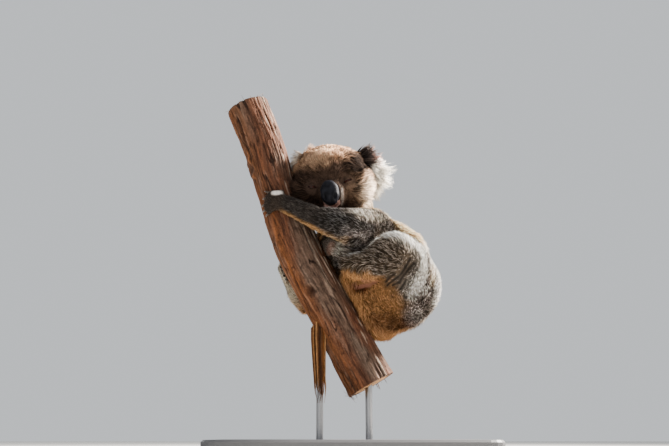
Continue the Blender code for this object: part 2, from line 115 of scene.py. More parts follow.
def applied(piece):
    graph = bpy.context.evaluated_depsgraph_get()
    mesh = bpy.data.meshes.new_from_object(piece.evaluated_get(graph))
    piece.modifiers.clear()
    piece.data = mesh
    return mesh


def faceNormals(points, faces):
    a, b, c = (points[faces[:, k]] for k in range(3))
    return np.cross(b - a, c - a)


def pointNormals(points, faces):
    slopes = faceNormals(points, faces)
    total = np.zeros_like(points)
    for k in range(3):
        for axis in range(3):
            total[:, axis] += np.bincount(faces[:, k], slopes[:, axis], len(points))
    return unit(total)


def smoothstep(low, high, value):
    t = np.clip((value - low) / (high - low), 0, 1)
    return t * t * (3 - 2 * t)


def softNoise(points, size, seed):
    # smooth value noise from -1 to 1, with features of the given size
    cell = np.asarray(points, float) / size + seed * 17.31
    low = np.floor(cell).astype(np.int64)
    share = cell - low
    share = share * share * (3 - 2 * share)
    total = 0.0
    for corner in range(8):
        step = np.array([(corner >> k) & 1 for k in range(3)])
        spot = low + step
        mix = spot[..., 0] * 374761393 + spot[..., 1] * 668265263 + spot[..., 2] * 2147483647
        mix = (mix ^ (mix >> 13)) * 1274126177
        value = ((mix ^ (mix >> 16)) & 0xFFFF) / 32767.5 - 1
        weight = np.prod(np.where(step == 1, share, 1 - share), axis=-1)
        total = total + value * weight
    return total


def edgePairs(faces):
    return np.vstack([faces[:, [0, 1]], faces[:, [1, 2]], faces[:, [2, 0]]])


def nearestLabel(spots, labels, asked):
    # the label of the spot nearest to each point asked for
    tree = KDTree(len(spots))
    for spot, label in zip(spots, labels):
        tree.insert(spot, label)
    tree.balance()
    return np.array([tree.find(point)[1] for point in asked])


def joinedForm(mesh):
    # a frame mesh is loose triangles, so a copy of it is joined at the corners first
    form = bmesh.new()
    form.from_mesh(mesh)
    bmesh.ops.remove_doubles(form, verts=form.verts, dist=0.00001)
    bmesh.ops.recalc_face_normals(form, faces=form.faces)
    return form


class Neighbours:
    # smooths values over a mesh by its edges
    def __init__(self, count, faces):
        pairs = edgePairs(faces)
        pairs = np.unique(np.vstack([pairs, pairs[:, ::-1]]), axis=0)
        self.other = pairs[:, 1]
        self.starts = np.searchsorted(pairs[:, 0], np.arange(count))
        self.degree = np.bincount(pairs[:, 0], minlength=count)

    def average(self, values):
        total = np.add.reduceat(values[self.other], self.starts, axis=0)
        return total / self.degree.reshape((-1,) + (1,) * (values.ndim - 1))

    def smooth(self, values, rounds, share=0.5):
        for _ in range(rounds):
            values = values + share * (self.average(values) - values)
        return values

    def fade(self, values, rounds):
        # smooths each point for its own number of rounds
        for step in range(int(rounds.max()) + 1):
            share = 0.5 * np.clip(rounds - step, 0, 1)[:, None]
            values = values + share * (self.average(values) - values)
        return values


# shader pieces
def tone(red, green, blue):
    shade = np.array([red, green, blue]) / 255
    return np.where(shade <= 0.04045, shade / 12.92, ((shade + 0.055) / 1.055) ** 2.4)


def newMaterial(name, looks):
    finish = bpy.data.materials.new(name)
    finish.use_nodes = True
    tree = finish.node_tree
    shader = tree.nodes["Principled BSDF"]
    for socket, value in looks.items():
        shader.inputs[socket].default_value = value
    return finish, tree, shader


def addNode(tree, kind, **values):
    node = tree.nodes.new(kind)
    for key, value in values.items():
        if key in node.inputs:
            node.inputs[key].default_value = value
        else:
            setattr(node, key, value)
    return node


def wire(tree, *ways):
    # each way is a node, its output, a node and its input
    for start, output, end, socket in ways:
        tree.links.new(start.outputs[output], end.inputs[socket])


def addSockets(group, way, sockets):
    # each socket is a name, its kind and, for some, the value it starts with
    for name, kind, *value in sockets:
        made = group.interface.new_socket(name, in_out=way, socket_type="NodeSocket" + kind)
        if value:
            made.default_value = value[0]


def fineGrainGroup():
    # speckle that darkens and lightens a colour, and a height to go with it
    group = bpy.data.node_groups.new("fineGrain", "ShaderNodeTree")
    sizes = [("Size", "Float", 300.0), ("Depth", "Float", 0.4)]
    addSockets(group, "INPUT", [("Vector", "Vector"), ("Colour", "Color"), *sizes])
    addSockets(group, "OUTPUT", [("Colour", "Color"), ("Height", "Float")])
    given = group.nodes.new("NodeGroupInput")
    result = group.nodes.new("NodeGroupOutput")
    noise = addNode(group, "ShaderNodeTexNoise", Detail=4.0, Roughness=0.6)
    swing = addNode(group, "ShaderNodeMapRange")
    swing.inputs["From Min"].default_value = 0.25
    swing.inputs["From Max"].default_value = 0.75
    tint = addNode(group, "ShaderNodeMix", data_type="RGBA", blend_type="MULTIPLY")
    tint.inputs["Factor"].default_value = 1.0
    grey = addNode(group, "ShaderNodeCombineColor")
    wire(
        group,
        (given, "Vector", noise, "Vector"),
        (given, "Size", noise, "Scale"),
        (noise, "Fac", swing, "Value"),
        (given, "Colour", tint, "A"),
        (grey, "Color", tint, "B"),
        (tint, "Result", result, "Colour"),
        (noise, "Fac", result, "Height"),
    )
    for operation, end in (("SUBTRACT", "To Min"), ("ADD", "To Max")):
        limit = addNode(group, "ShaderNodeMath", operation=operation)
        limit.inputs[0].default_value = 1.0
        wire(group, (given, "Depth", limit, 1), (limit, 0, swing, end))
    for channel in ("Red", "Green", "Blue"):
        wire(group, (swing, "Result", grey, channel))
    return group


fineGrain = fineGrainGroup()


def addBump(tree, shader, source, output, bump):
    raised = addNode(tree, "ShaderNodeBump", Strength=bump[0], Distance=bump[1])
    wire(tree, (source, output, raised, "Height"), (raised, "Normal", shader, "Normal"))


def grainFinish(name, looks, grain, bump=None, colour=None, attribute=None, stretch=None):
    # fine grain, as (size, depth), over one colour or over the colours that the mesh carries
    finish, tree, shader = newMaterial(name, looks)
    where = addNode(tree, "ShaderNodeTexCoord")
    grained = addNode(tree, "ShaderNodeGroup", node_tree=fineGrain, Size=grain[0], Depth=grain[1])
    if attribute:
        carried = addNode(tree, "ShaderNodeAttribute", attribute_name=attribute)
        wire(tree, (carried, "Color", grained, "Colour"))
    else:
        grained.inputs["Colour"].default_value = (*colour, 1)
    if stretch:
        turned = addNode(tree, "ShaderNodeMapping", Scale=stretch)
        wire(tree, (where, "Object", turned, "Vector"), (turned, "Vector", grained, "Vector"))
    else:
        wire(tree, (where, "Object", grained, "Vector"))
    wire(tree, (grained, "Colour", shader, "Base Color"))
    if bump:
        addBump(tree, shader, grained, "Height", bump)
    return finish


def patchyFinish(name, looks, noise, stops, bump=None, pebble=None):
    # a colour that drifts between two tones, each at its place on the noise
    finish, tree, shader = newMaterial(name, looks)
    where = addNode(tree, "ShaderNodeTexCoord")
    patchy = addNode(tree, "ShaderNodeTexNoise", **noise)
    ramp = addNode(tree, "ShaderNodeValToRGB")
    for element, (spot, shade) in zip(ramp.color_ramp.elements, stops):
        element.position = spot
        element.color = (*shade, 1)
    wire(
        tree,
        (where, "Object", patchy, "Vector"),
        (patchy, "Fac", ramp, "Fac"),
        (ramp, "Color", shader, "Base Color"),
    )
    if pebble:
        cells = addNode(tree, "ShaderNodeTexVoronoi", Scale=pebble)
        wire(tree, (where, "Object", cells, "Vector"))
        addBump(tree, shader, cells, "Distance", bump)
    elif bump:
        addBump(tree, shader, patchy, "Fac", bump)
    return finish


# where things are, from the frame
def middle(name):
    low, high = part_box(name)
    return np.array((low + high) / 2)


headPose = {"yaw": -2.5, "pitch": 15.0, "roll": -9.0, "eyeInHead": (0.0, -0.0525, -0.016)}


def headAxes(pose):
    turn = Matrix.Rotation(math.radians(pose["yaw"]), 3, "Z")
    turn = turn @ Matrix.Rotation(math.radians(pose["pitch"]), 3, "X")
    return np.array(turn @ Matrix.Rotation(math.radians(pose["roll"]), 3, "Y"))


headTurn = headAxes(headPose)
eyeLeft = middle("eye_left")
eyeRight = middle("eye_right")
headCentre = (eyeLeft + eyeRight) / 2 - headTurn @ np.array(headPose["eyeInHead"])
nosePlace = middle("nose")


def inHead(points):
    return (points - headCentre) @ headTurn


fleshNames = [
    name
    for name in sorted(nodes)
    if not name.startswith(("claw", "eye", "nose", "perch", "stand"))
]
print("frame read:", len(nodes), "nodes,", len(fleshNames), "of them flesh")

# the coat over each part: its depth, the length of its tufts and the space between them,
# the rounds that soften the skin below, and its ground tone
coatKeys = ("depth", "length", "spacing", "soften", "tone")
coatOver = {
    "head": (0.0050, 0.0125, 0.00150, 6, (122, 100, 84)),
    "ear_left": (0.0, 0.026, 0.00120, 6, (76, 66, 62)),
    "ear_right": (0.0, 0.022, 0.00125, 6, (176, 156, 140)),
    "neck": (0.0090, 0.022, 0.00190, 20, (160, 136, 112)),
    "chest": (0.0110, 0.022, 0.00205, 30, (128, 110, 94)),
    "rump": (0.0100, 0.021, 0.00205, 36, (122, 106, 90)),
    "thigh": (0.0085, 0.0155, 0.00190, 36, (98, 87, 77)),
    "shin": (0.0060, 0.014, 0.00180, 20, (102, 88, 74)),
    "foot": (0.0015, 0.006, 0.00150, 3, (118, 108, 98)),
    "upper_arm": (0.0080, 0.0155, 0.00180, 24, (104, 94, 86)),
    "forearm": (0.0050, 0.0115, 0.00165, 14, (82, 75, 70)),
    "hand": (0.0015, 0.006, 0.00150, 3, (78, 68, 60)),
}
earSides = (("ear_left", 1), ("ear_right", -1))
eyeSides = ((eyeLeft, 1), (eyeRight, -1))


def coatValues(key):
    # one value for each part of the flesh, left and right alike
    plain = [name if name in coatOver else name.rsplit("_", 1)[0] for name in fleshNames]
    return np.array([coatOver[name][coatKeys.index(key)] for name in plain])


# skin: one closed surface over all the flesh
skinMake = {
    "swell": 0.0006,
    "voxel": 0.0030,
    "markSpacing": 0.004,
    "blendRounds": 14,
    "giveBack": 0.7,  # of the size that softening takes
}


def randomPair(count):
    # two shares of a triangle's sides for each point, evenly spread over the triangle
    u, v = chance.random(count), chance.random(count)
    flip = u + v > 1
    u[flip], v[flip] = 1 - u[flip], 1 - v[flip]
    return u, v


def sampleFaces(points, faces, spacing):
    # evenly many points for each patch of surface
    size = span(faceNormals(points, faces)) / 2
    counts = np.maximum(1, (size / spacing**2).astype(int))
    owner = np.repeat(np.arange(len(faces)), counts)
    u, v = randomPair(len(owner))
    a, b, c = (points[faces[owner, k]] for k in range(3))
    return a + (b - a) * u[:, None] + (c - a) * v[:, None]


def joinFlesh():
    whole = bmesh.new()
    spots, owners = [], []
    for index, name in enumerate(fleshNames):
        form = joinedForm(nodes[name].data)
        form.normal_update()
        for vertex in form.verts:
            vertex.co = vertex.co + vertex.normal * skinMake["swell"]
        part = bpy.data.meshes.new(name)
        form.to_mesh(part)
        form.free()
        whole.from_mesh(part)
        marks = sampleFaces(*readMesh(part), skinMake["markSpacing"])
        spots.append(marks)
        owners += [index] * len(marks)
        bpy.data.meshes.remove(part)
    mesh = bpy.data.meshes.new("skin")
    whole.to_mesh(mesh)
    whole.free()
    return mesh, np.vstack(spots), owners


def largestPiece(count, faces):
    # label each vertex by the lowest vertex that its edges lead to
    label = np.arange(count)
    pairs = edgePairs(faces)
    while True:
        low = np.minimum(label[pairs[:, 0]], label[pairs[:, 1]])
        new = label.copy()
        np.minimum.at(new, pairs[:, 0], low)
        np.minimum.at(new, pairs[:, 1], low)
        new = new[new]
        if np.array_equal(new, label):
            break
        label = new
    names, sizes = np.unique(label, return_counts=True)
    return label == names[np.argmax(sizes)]


def keepPart(points, faces, keep):
    renumber = np.cumsum(keep) - 1
    return points[keep], renumber[faces[keep[faces].all(axis=1)]]


def remeshedFlesh():
    mesh, spots, owners = joinFlesh()
    piece = place("skinDraft", mesh)
    melt = piece.modifiers.new("melt", "REMESH")
    melt.mode = "VOXEL"
    melt.voxel_size = skinMake["voxel"]
    points, faces = readMesh(applied(piece))
    bpy.data.objects.remove(piece)
    points, faces = keepPart(points, faces, largestPiece(len(points), faces))
    return points, faces, nearestLabel(spots, owners, points)


earMake = {
    "root": 0.42,
    "slim": (0.66, 0.40, 0.64),
    "cupAt": 0.028,
    "cupWide": 0.020,
    "cupDeep": 0.003,
}


def shapeEar(points, weight, name, side):
    # the thin cupped flap inside each ear's fringe, drawn in towards its root
    centre = middle(name)
    root = centre + (headCentre - centre) * earMake["root"]
    local = (points - root) @ headTurn
    flap = local * np.array(earMake["slim"])
    across = local[:, 0] * side
    wide = 2 * earMake["cupWide"] ** 2
    cup = np.exp(-((across - earMake["cupAt"]) ** 2 + local[:, 2] ** 2) / wide)
    flap[:, 1] += earMake["cupDeep"] * cup
    shaped = flap @ headTurn.T + root
    reach = smoothstep(0.3, 0.9, weight)[:, None]
    return points + (shaped - points) * reach


def softSkin():
    points, faces, owners = remeshedFlesh()
    mates = Neighbours(len(points), faces)
    weights = mates.smooth(np.eye(len(fleshNames))[owners], skinMake["blendRounds"])
    rounds = weights @ coatValues("soften")
    soft = mates.fade(points, rounds)
    points = soft + mates.fade(points - soft, rounds * skinMake["giveBack"])
    face = weights[:, fleshNames.index("head")]
    face = face * smoothstep(-0.030, -0.055, inHead(points)[:, 1])
    depth = weights @ coatValues("depth") * (1 - 0.5 * face)  # the coat is thin over the face
    normals = mates.smooth(pointNormals(points, faces), 4)
    points = points - unit(normals) * depth[:, None]
    for name, side in earSides:
        points = shapeEar(points, weights[:, fleshNames.index(name)], name, side)
    return mates.smooth(points, 3), faces, weights


skinPoints, skinFaces, skinWeights = softSkin()
print("skin softened:", len(skinPoints), "points")


# finer skin round the eyes, nose and mouth, with lids and lips
faceMake = {
    "lidGap": 0.0010,
    "slitHalf": 0.0080,
    "slitOpen": 0.0009,
    "slitTilt": 0.26,
    "eyeRadius": 0.0085,
    "fineReach": (0.029, 0.020),  # round each spot, once for each time its edges are split
    "calm": {"at": (0, -0.05, -0.03), "reach": (0.075, 0.055), "rounds": 4},
    "slitArch": 14.0,
    "lidEdge": 0.0022,
    "lidRim": (0.0008, 0.0012, 0.0008),  # height, distance from the slit, width
    "lidReach": (0.0165, 0.0110),
    "ballSunk": 0.0016,
    "folds": ((0.0046, 0.0013), (0.0074, 0.0009), (-0.0050, 0.0010)),
    "lipLine": -0.0635,
    "lipCurve": 24.0,
    "lipFull": 0.0024,
    "groove": 0.0030,
    "cleft": 0.0012,
}
fineSpots = [eyeLeft, eyeRight, nosePlace, nosePlace + headTurn @ np.array((0, 0.008, -0.030))]


def refineSkin(points, faces, weights):
    # split the edges near the face's small features, and share the weights out again
    for reach in faceMake["fineReach"]:
        near = np.zeros(len(points), bool)
        for spot in fineSpots:
            near |= span(points - spot) < reach
        form = bmesh.new()
        mesh = makeMesh("refine", points, faces)
        form.from_mesh(mesh)
        form.verts.ensure_lookup_table()
        edges = [e for e in form.edges if near[e.verts[0].index] and near[e.verts[1].index]]
        bmesh.ops.subdivide_edges(form, edges=edges, cuts=1, use_grid_fill=True)
        bmesh.ops.triangulate(form, faces=form.faces)
        form.to_mesh(mesh)
        form.free()
        newPoints, faces = readMesh(mesh)
        nearest = nearestLabel(points, range(len(points)), newPoints[len(points) :])
        weights = np.vstack([weights, weights[nearest]])
        points = newPoints
        bpy.data.meshes.remove(mesh)
    mates = Neighbours(len(points), faces)
    calm = faceMake["calm"]
    share = 0.5 * smoothstep(*calm["reach"], span(inHead(points) - calm["at"]))[:, None]
    for _ in range(calm["rounds"]):
        points = points + share * (mates.average(points) - points)
    return points, faces, weights


def lidBow(points, centre, side):
    # distance above the line where the lids meet, and the place along it
    offset = (points - centre) @ headTurn
    across = offset[:, 0] * side
    bow = offset[:, 2] - faceMake["slitTilt"] * across + faceMake["slitArch"] * across**2
    return bow, across, offset


def shapeLids(points, centre, side):
    # close the lids over the eyeball, all but a narrow slit
    bow, across, offset = lidBow(points, centre, side)
    own = -offset[:, 1]
    wide = np.hypot(offset[:, 0], offset[:, 2])
    ball = faceMake["eyeRadius"] + faceMake["lidGap"]
    dome = np.where(wide < ball, np.sqrt(np.maximum(ball**2 - wide**2, 0)), -3 * (wide - ball))
    hill = (own + dome + np.sqrt((own - dome) ** 2 + faceMake["lidEdge"] ** 2)) / 2
    ajar = np.clip(1 - (across / faceMake["slitHalf"]) ** 2, 0, 1)
    gape = faceMake["slitOpen"] * ajar
    slit = smoothstep(0.0007, -0.0003, np.abs(bow) - gape) * (ajar > 0)
    sunk = faceMake["eyeRadius"] - faceMake["ballSunk"]
    bed = np.sqrt(np.maximum(sunk**2 - wide**2, 0))
    proud, beyond, width = faceMake["lidRim"]
    rim = proud * np.exp(-(((np.abs(bow) - gape - beyond) / width) ** 2)) * ajar
    folds = 0.0
    for shift, depth in faceMake["folds"]:
        folds = folds + depth * np.exp(-(((bow - shift) / 0.0010) ** 2))
    folds = folds * smoothstep(0.0105, 0.005, np.abs(across))
    hill = hill + rim - folds
    hill = hill + (bed - hill) * slit
    near = smoothstep(*faceMake["lidReach"], wide) * (own > -0.012)
    forward = headTurn @ np.array((0, -1, 0))
    return points + ((hill - own) * near)[:, None] * forward, slit * near


def aroundMouth(local):
    # how far each point is to the side of the nose's middle, and above the line of the lips
    aside = local[:, 0] - inHead(nosePlace)[0]
    return aside, local[:, 2] - (faceMake["lipLine"] + faceMake["lipCurve"] * aside**2)


def ridge(values, width):
    return np.exp(-((values / width) ** 2))


def shapeMouth(points):
    # a soft groove under the nose, with a fuller lip on each side
    local = inHead(points)
    aside, above = aroundMouth(local)
    reach = smoothstep(0.028, 0.018, np.abs(aside)) * smoothstep(-0.050, -0.066, local[:, 1])
    groove = ridge(above, 0.0014) * reach
    lip = (ridge(above - 0.0042, 0.0030) + 0.7 * ridge(above + 0.0042, 0.0032)) * reach
    cleft = ridge(aside, 0.0013) * smoothstep(0.0, 0.003, above) * reach
    raised = faceMake["lipFull"] * lip - faceMake["groove"] * groove - faceMake["cleft"] * cleft
    return points + pointNormals(points, skinFaces) * raised[:, None], groove


skinPoints, skinFaces, skinWeights = refineSkin(skinPoints, skinFaces, skinWeights)
skinPoints, slitLeft = shapeLids(skinPoints, eyeLeft, 1)
skinPoints, slitRight = shapeLids(skinPoints, eyeRight, -1)
skinPoints, mouthGroove = shapeMouth(skinPoints)
eyeSlit = np.maximum(slitLeft, slitRight)
skinMates = Neighbours(len(skinPoints), skinFaces)
skinNormals = unit(skinMates.smooth(pointNormals(skinPoints, skinFaces), 3))
print("face shaped:", len(skinPoints), "points,", len(skinFaces), "faces")


# the colours of the coat, the same for skin and tufts
markTones = {
    # pale crown: partly the fur's own tone, partly painted sunlight on the top of the head
    "crown": tone(186, 146, 116),
    # painted shade over the face and round the eyes
    "faceShade": tone(86, 68, 58),
    "cheek": tone(214, 194, 174),
    "muzzle": tone(206, 196, 188),
    "chin": tone(104, 80, 70),
    "lip": tone(196, 160, 150),
    "lid": tone(44, 20, 18),
    "bandDark": tone(58, 48, 44),
    # painted sunlight on the upper arm and shoulder
    "sunny": tone(206, 190, 174),
    "footPale": tone(166, 154, 142),
    "toePink": tone(176, 134, 118),
    "cheekTan": tone(150, 124, 104),
    "haunch": tone(172, 158, 152),
    # painted back light glowing through the far leg's fur
    "farLeg": tone(206, 194, 174),
    # brown, used as painted shade low under the rump
    "brown": tone(120, 86, 60),
    # painted shadow of the chin on the near arm
    "armShade": tone(40, 35, 31),
    # painted sunlight on the front of the crown
    "crownFront": tone(244, 204, 172),
    "gold": tone(172, 130, 90),
    "cream": tone(176, 138, 96),
    # pale fur, and painted sunlight on the rump and thigh's right side, rim and top
    "pale": tone(250, 244, 234),
    # cream on the back and the rump's rim: partly the coat's cream, partly painted sunlight
    "backCream": tone(216, 182, 146),
    # mottled fur, also used as painted shade in the thigh's fold
    "mottle": tone(68, 54, 46),
    "stain": tone(104, 60, 36),
    "bare": tone(136, 96, 82),
    "fringe": tone(244, 238, 228),
    "earPink": tone(168, 132, 120),
    # painted shade in the coat's partings and in the gaps round the near foot
    "crease": tone(20, 16, 14),
    "pad": tone(236, 226, 216),
}


def regionWeight(weights, *starts):
    picks = [k for k, name in enumerate(fleshNames) if name.startswith(starts)]
    return weights[:, picks].sum(axis=1)


def spotMask(points, centre, radii):
    return smoothstep(1.25, 0.55, span((points - centre) / radii))


def earBand(points):
    # the dark hair in front of the near ear
    return spotMask(inHead(points), (0.052, -0.034, 0.020), (0.024, 0.050, 0.030))


def headLayers(points, normals, share):
    local = inHead(points)
    x, y, z = local.T
    blotch = softNoise(points, 0.012, 3)
    # the top of the head paler: partly its own tone, partly painted sunlight
    crown = smoothstep(0.002, 0.034, z + 0.007 * blotch - 0.40 * np.maximum(x - 0.005, 0))
    # painted sunlight where the crown faces forward
    lit = crown * smoothstep(0.030, 0.0, x) * smoothstep(0.35, 0.80, -normals[:, 1])
    lower = z + 0.006 * blotch
    # painted shade over the front of the face below the crown, all but the side by the near ear
    shade = smoothstep(-0.010, -0.032, y) * smoothstep(0.034, 0.006, lower)
    shade = shade * smoothstep(0.050, 0.030, x)
    beyond = x - 0.25 * z + 0.006 * blotch
    tan = smoothstep(0.028, 0.046, beyond) * smoothstep(0.014, -0.006, z)
    cheek = smoothstep(0.054, 0.074, beyond) * smoothstep(-0.008, -0.030, lower)
    jaw = smoothstep(-0.058, -0.068, z + 0.003 * blotch) * smoothstep(0.045, 0.025, x)
    # a pale streak beside the nose, narrower upwards
    beside = x - inHead(nosePlace)[0] - 0.0228 - 0.12 * (z + 0.045)
    streak = ridge(beside, 0.0020 - 0.03 * (z + 0.03)) * smoothstep(-0.056, -0.066, y)
    streak = streak * (0.70 + 0.6 * softNoise(points, 0.003, 15))
    streak = streak * smoothstep(-0.068, -0.060, z) * smoothstep(-0.022, -0.038, z)
    layers = [
        ("crown", crown * share * 0.95),
        ("crownFront", lit * share * (0.7 + 0.3 * blotch)),
        ("faceShade", shade * share * 0.85),
        ("cheekTan", tan * share * 0.8),
        ("cheek", cheek * share * 0.95),
        ("chin", jaw * share * 0.7),
        ("muzzle", streak * share * 0.8),
        ("lip", lipMask(local) * share),
    ]
    for centre, side in eyeSides:
        bow, across, offset = lidBow(points, centre, side)
        socket = span(offset * (0.8, 1, 1.25))
        seam = smoothstep(0.0026, 0.0012, np.abs(bow)) * smoothstep(0.0102, 0.0082, np.abs(across))
        seam = seam * smoothstep(0.016, 0.012, span(offset))
        # painted shadow in each eye socket
        layers.append(("faceShade", smoothstep(0.0195, 0.0115, socket) * share * 0.55))
        layers.append(("lid", seam * share))
    return [*layers, ("bandDark", earBand(points) * share * 0.9)]


def lipMask(local):
    aside, above = aroundMouth(local)
    lips = smoothstep(0.0056, 0.0040, np.abs(above - 0.001))
    return lips * smoothstep(0.0185, 0.0155, np.abs(aside)) * smoothstep(-0.050, -0.060, local[:, 1])


def earLayers(points, share, side):
    # dark at its base, pinkish in the middle, white along its lower and outer side
    x, _, z = (inHead(points) * (side, 1, 1)).T
    blotch = softNoise(points, 0.010, 7)
    middling = smoothstep(0.077, 0.087, x + 0.004 * blotch)
    white = smoothstep(0.014, 0.002, z + 0.005 * blotch - 0.30 * (x - 0.080))
    if side > 0:
        middling = middling * smoothstep(0.004, 0.016, z)
    else:
        white = np.maximum(white, smoothstep(0.100, 0.112, x))
    return [("earPink", middling * share * 0.8), ("fringe", white * share * 0.95)]


# where each mark lies, as its middle and its radii
markPlace = {
    "stain": ((0.021, -0.042, 0.326), (0.017, 0.040, 0.009)),
    "bare": ((0.030, -0.050, 0.3330), (0.040, 0.070, 0.0048)),
    # painted shade low under the rump
    "brown": ((0.064, -0.020, 0.262), (0.055, 0.060, 0.022)),
    "mottle": ((0.142, -0.085, 0.307), (0.018, 0.050, 0.022)),
    "haunch": ((0.124, -0.040, 0.274), (0.026, 0.070, 0.026)),
    # the rump's right rim, pale as painted sunlight over its tone
    "tanRim": ((0.158, -0.060, 0.350), (0.012, 0.050, 0.026)),
    # painted back light on the far leg
    "farLeg": ((-0.136, 0.030, 0.355), (0.045, 0.060, 0.080)),
    # painted sunlight on the upper arm and shoulder
    "sunny": ((0.034, -0.105, 0.474), (0.050, 0.070, 0.026)),
    "footPale": ((-0.022, -0.064, 0.404), (0.024, 0.036, 0.016)),
    "toePink": ((-0.040, -0.045, 0.410), (0.012, 0.040, 0.014)),
    # painted shadow in the gaps above and below the near foot
    "gapAbove": ((0.006, -0.095, 0.409), (0.022, 0.045, 0.011)),
    "gapBelow": ((-0.025, -0.030, 0.373), (0.010, 0.045, 0.026)),
    # painted shadow of the chin on the near arm
    "armShade": ((-0.034, -0.120, 0.452), (0.040, 0.050, 0.016)),
    "pad": ((-0.1500, -0.0640, 0.5235), (0.0140, 0.0150, 0.0090)),
}
# the edge of the gold under the thigh: how far to the side it lies at each height
goldEdge = {
    "height": (0.2576, 0.283, 0.3156, 0.331, 0.351, 0.3626, 0.370, 0.376, 0.381),
    "side": (0.118, 0.108, 0.101, 0.087, 0.078, 0.070, 0.046, 0.018, -0.060),
    "slant": 0.25,
}
# lines over the near thigh, each as x, z, x, z and so on: partings in the coat, darkened as painted
# shade, and the rim behind them, pale as painted sunlight, and the fold, dark as painted shade
thighLines = {
    "partings": (
        (0.070, 0.325, 0.082, 0.333, 0.094, 0.341, 0.100, 0.349, 0.107, 0.361, 0.113, 0.371),
        (0.080, 0.324, 0.093, 0.329, 0.098, 0.338, 0.106, 0.347, 0.113, 0.356, 0.120, 0.364),
        (0.096, 0.318, 0.102, 0.326, 0.106, 0.333),
        (0.068, 0.332, 0.075, 0.338, 0.083, 0.343),
    ),
    "rim": (
        *(0.095, 0.420, 0.118, 0.409, 0.136, 0.393, 0.147, 0.374, 0.144, 0.354),
        *(0.138, 0.338, 0.126, 0.322, 0.117, 0.303, 0.115, 0.287),
    ),
    "fold": (0.150, 0.388, 0.154, 0.364, 0.153, 0.344, 0.148, 0.328),
    "width": 0.0026,
    "front": -0.06,
}


def lineGap(points, line):
    # distance to a line and its direction, seen from the front
    spots = points[:, (0, 2)]
    gaps = np.full(len(points), 1.0)
    along = np.zeros_like(points)
    stops = np.array(line).reshape(-1, 2)
    for start, step in zip(stops, np.diff(stops, axis=0)):
        share = np.clip((spots - start) @ step / (step @ step), 0, 1)
        gap = span(spots - start - share[:, None] * step)
        along[gap < gaps] = np.array((step[0], 0, step[1])) / np.linalg.norm(step)
        gaps = np.minimum(gaps, gap)
    return gaps, along


def goldMask(points, normals):
    # golden under a line that runs from the ankle over the thigh to the rump's underside
    waver = 0.007 * softNoise(points, 0.009, 4)
    height = points[:, 2] - goldEdge["slant"] * points[:, 1]
    edge = np.interp(height + waver, goldEdge["height"], goldEdge["side"])
    mask = smoothstep(0.022, -0.020, points[:, 0] - edge + waver)
    forward = smoothstep(0.30, 0.0, normals[:, 1])
    return mask * np.maximum(forward, smoothstep(-0.30, -0.60, normals[:, 2]))


def markMask(points, name):
    return spotMask(points, *markPlace[name])


def partingGap(points):
    gaps = np.full(len(points), 1.0)
    along = np.zeros_like(points)
    for line in thighLines["partings"]:
        gap, step = lineGap(points, line)
        along[gap < gaps] = step[gap < gaps]
        gaps = np.minimum(gaps, gap)
    return gaps + (points[:, 1] > thighLines["front"]), along


# the partings, drawn as lines of painted shade
def creaseLines(points):
    return ridge(partingGap(points)[0] + 0.0008 * softNoise(points, 0.006, 5), thighLines["width"])


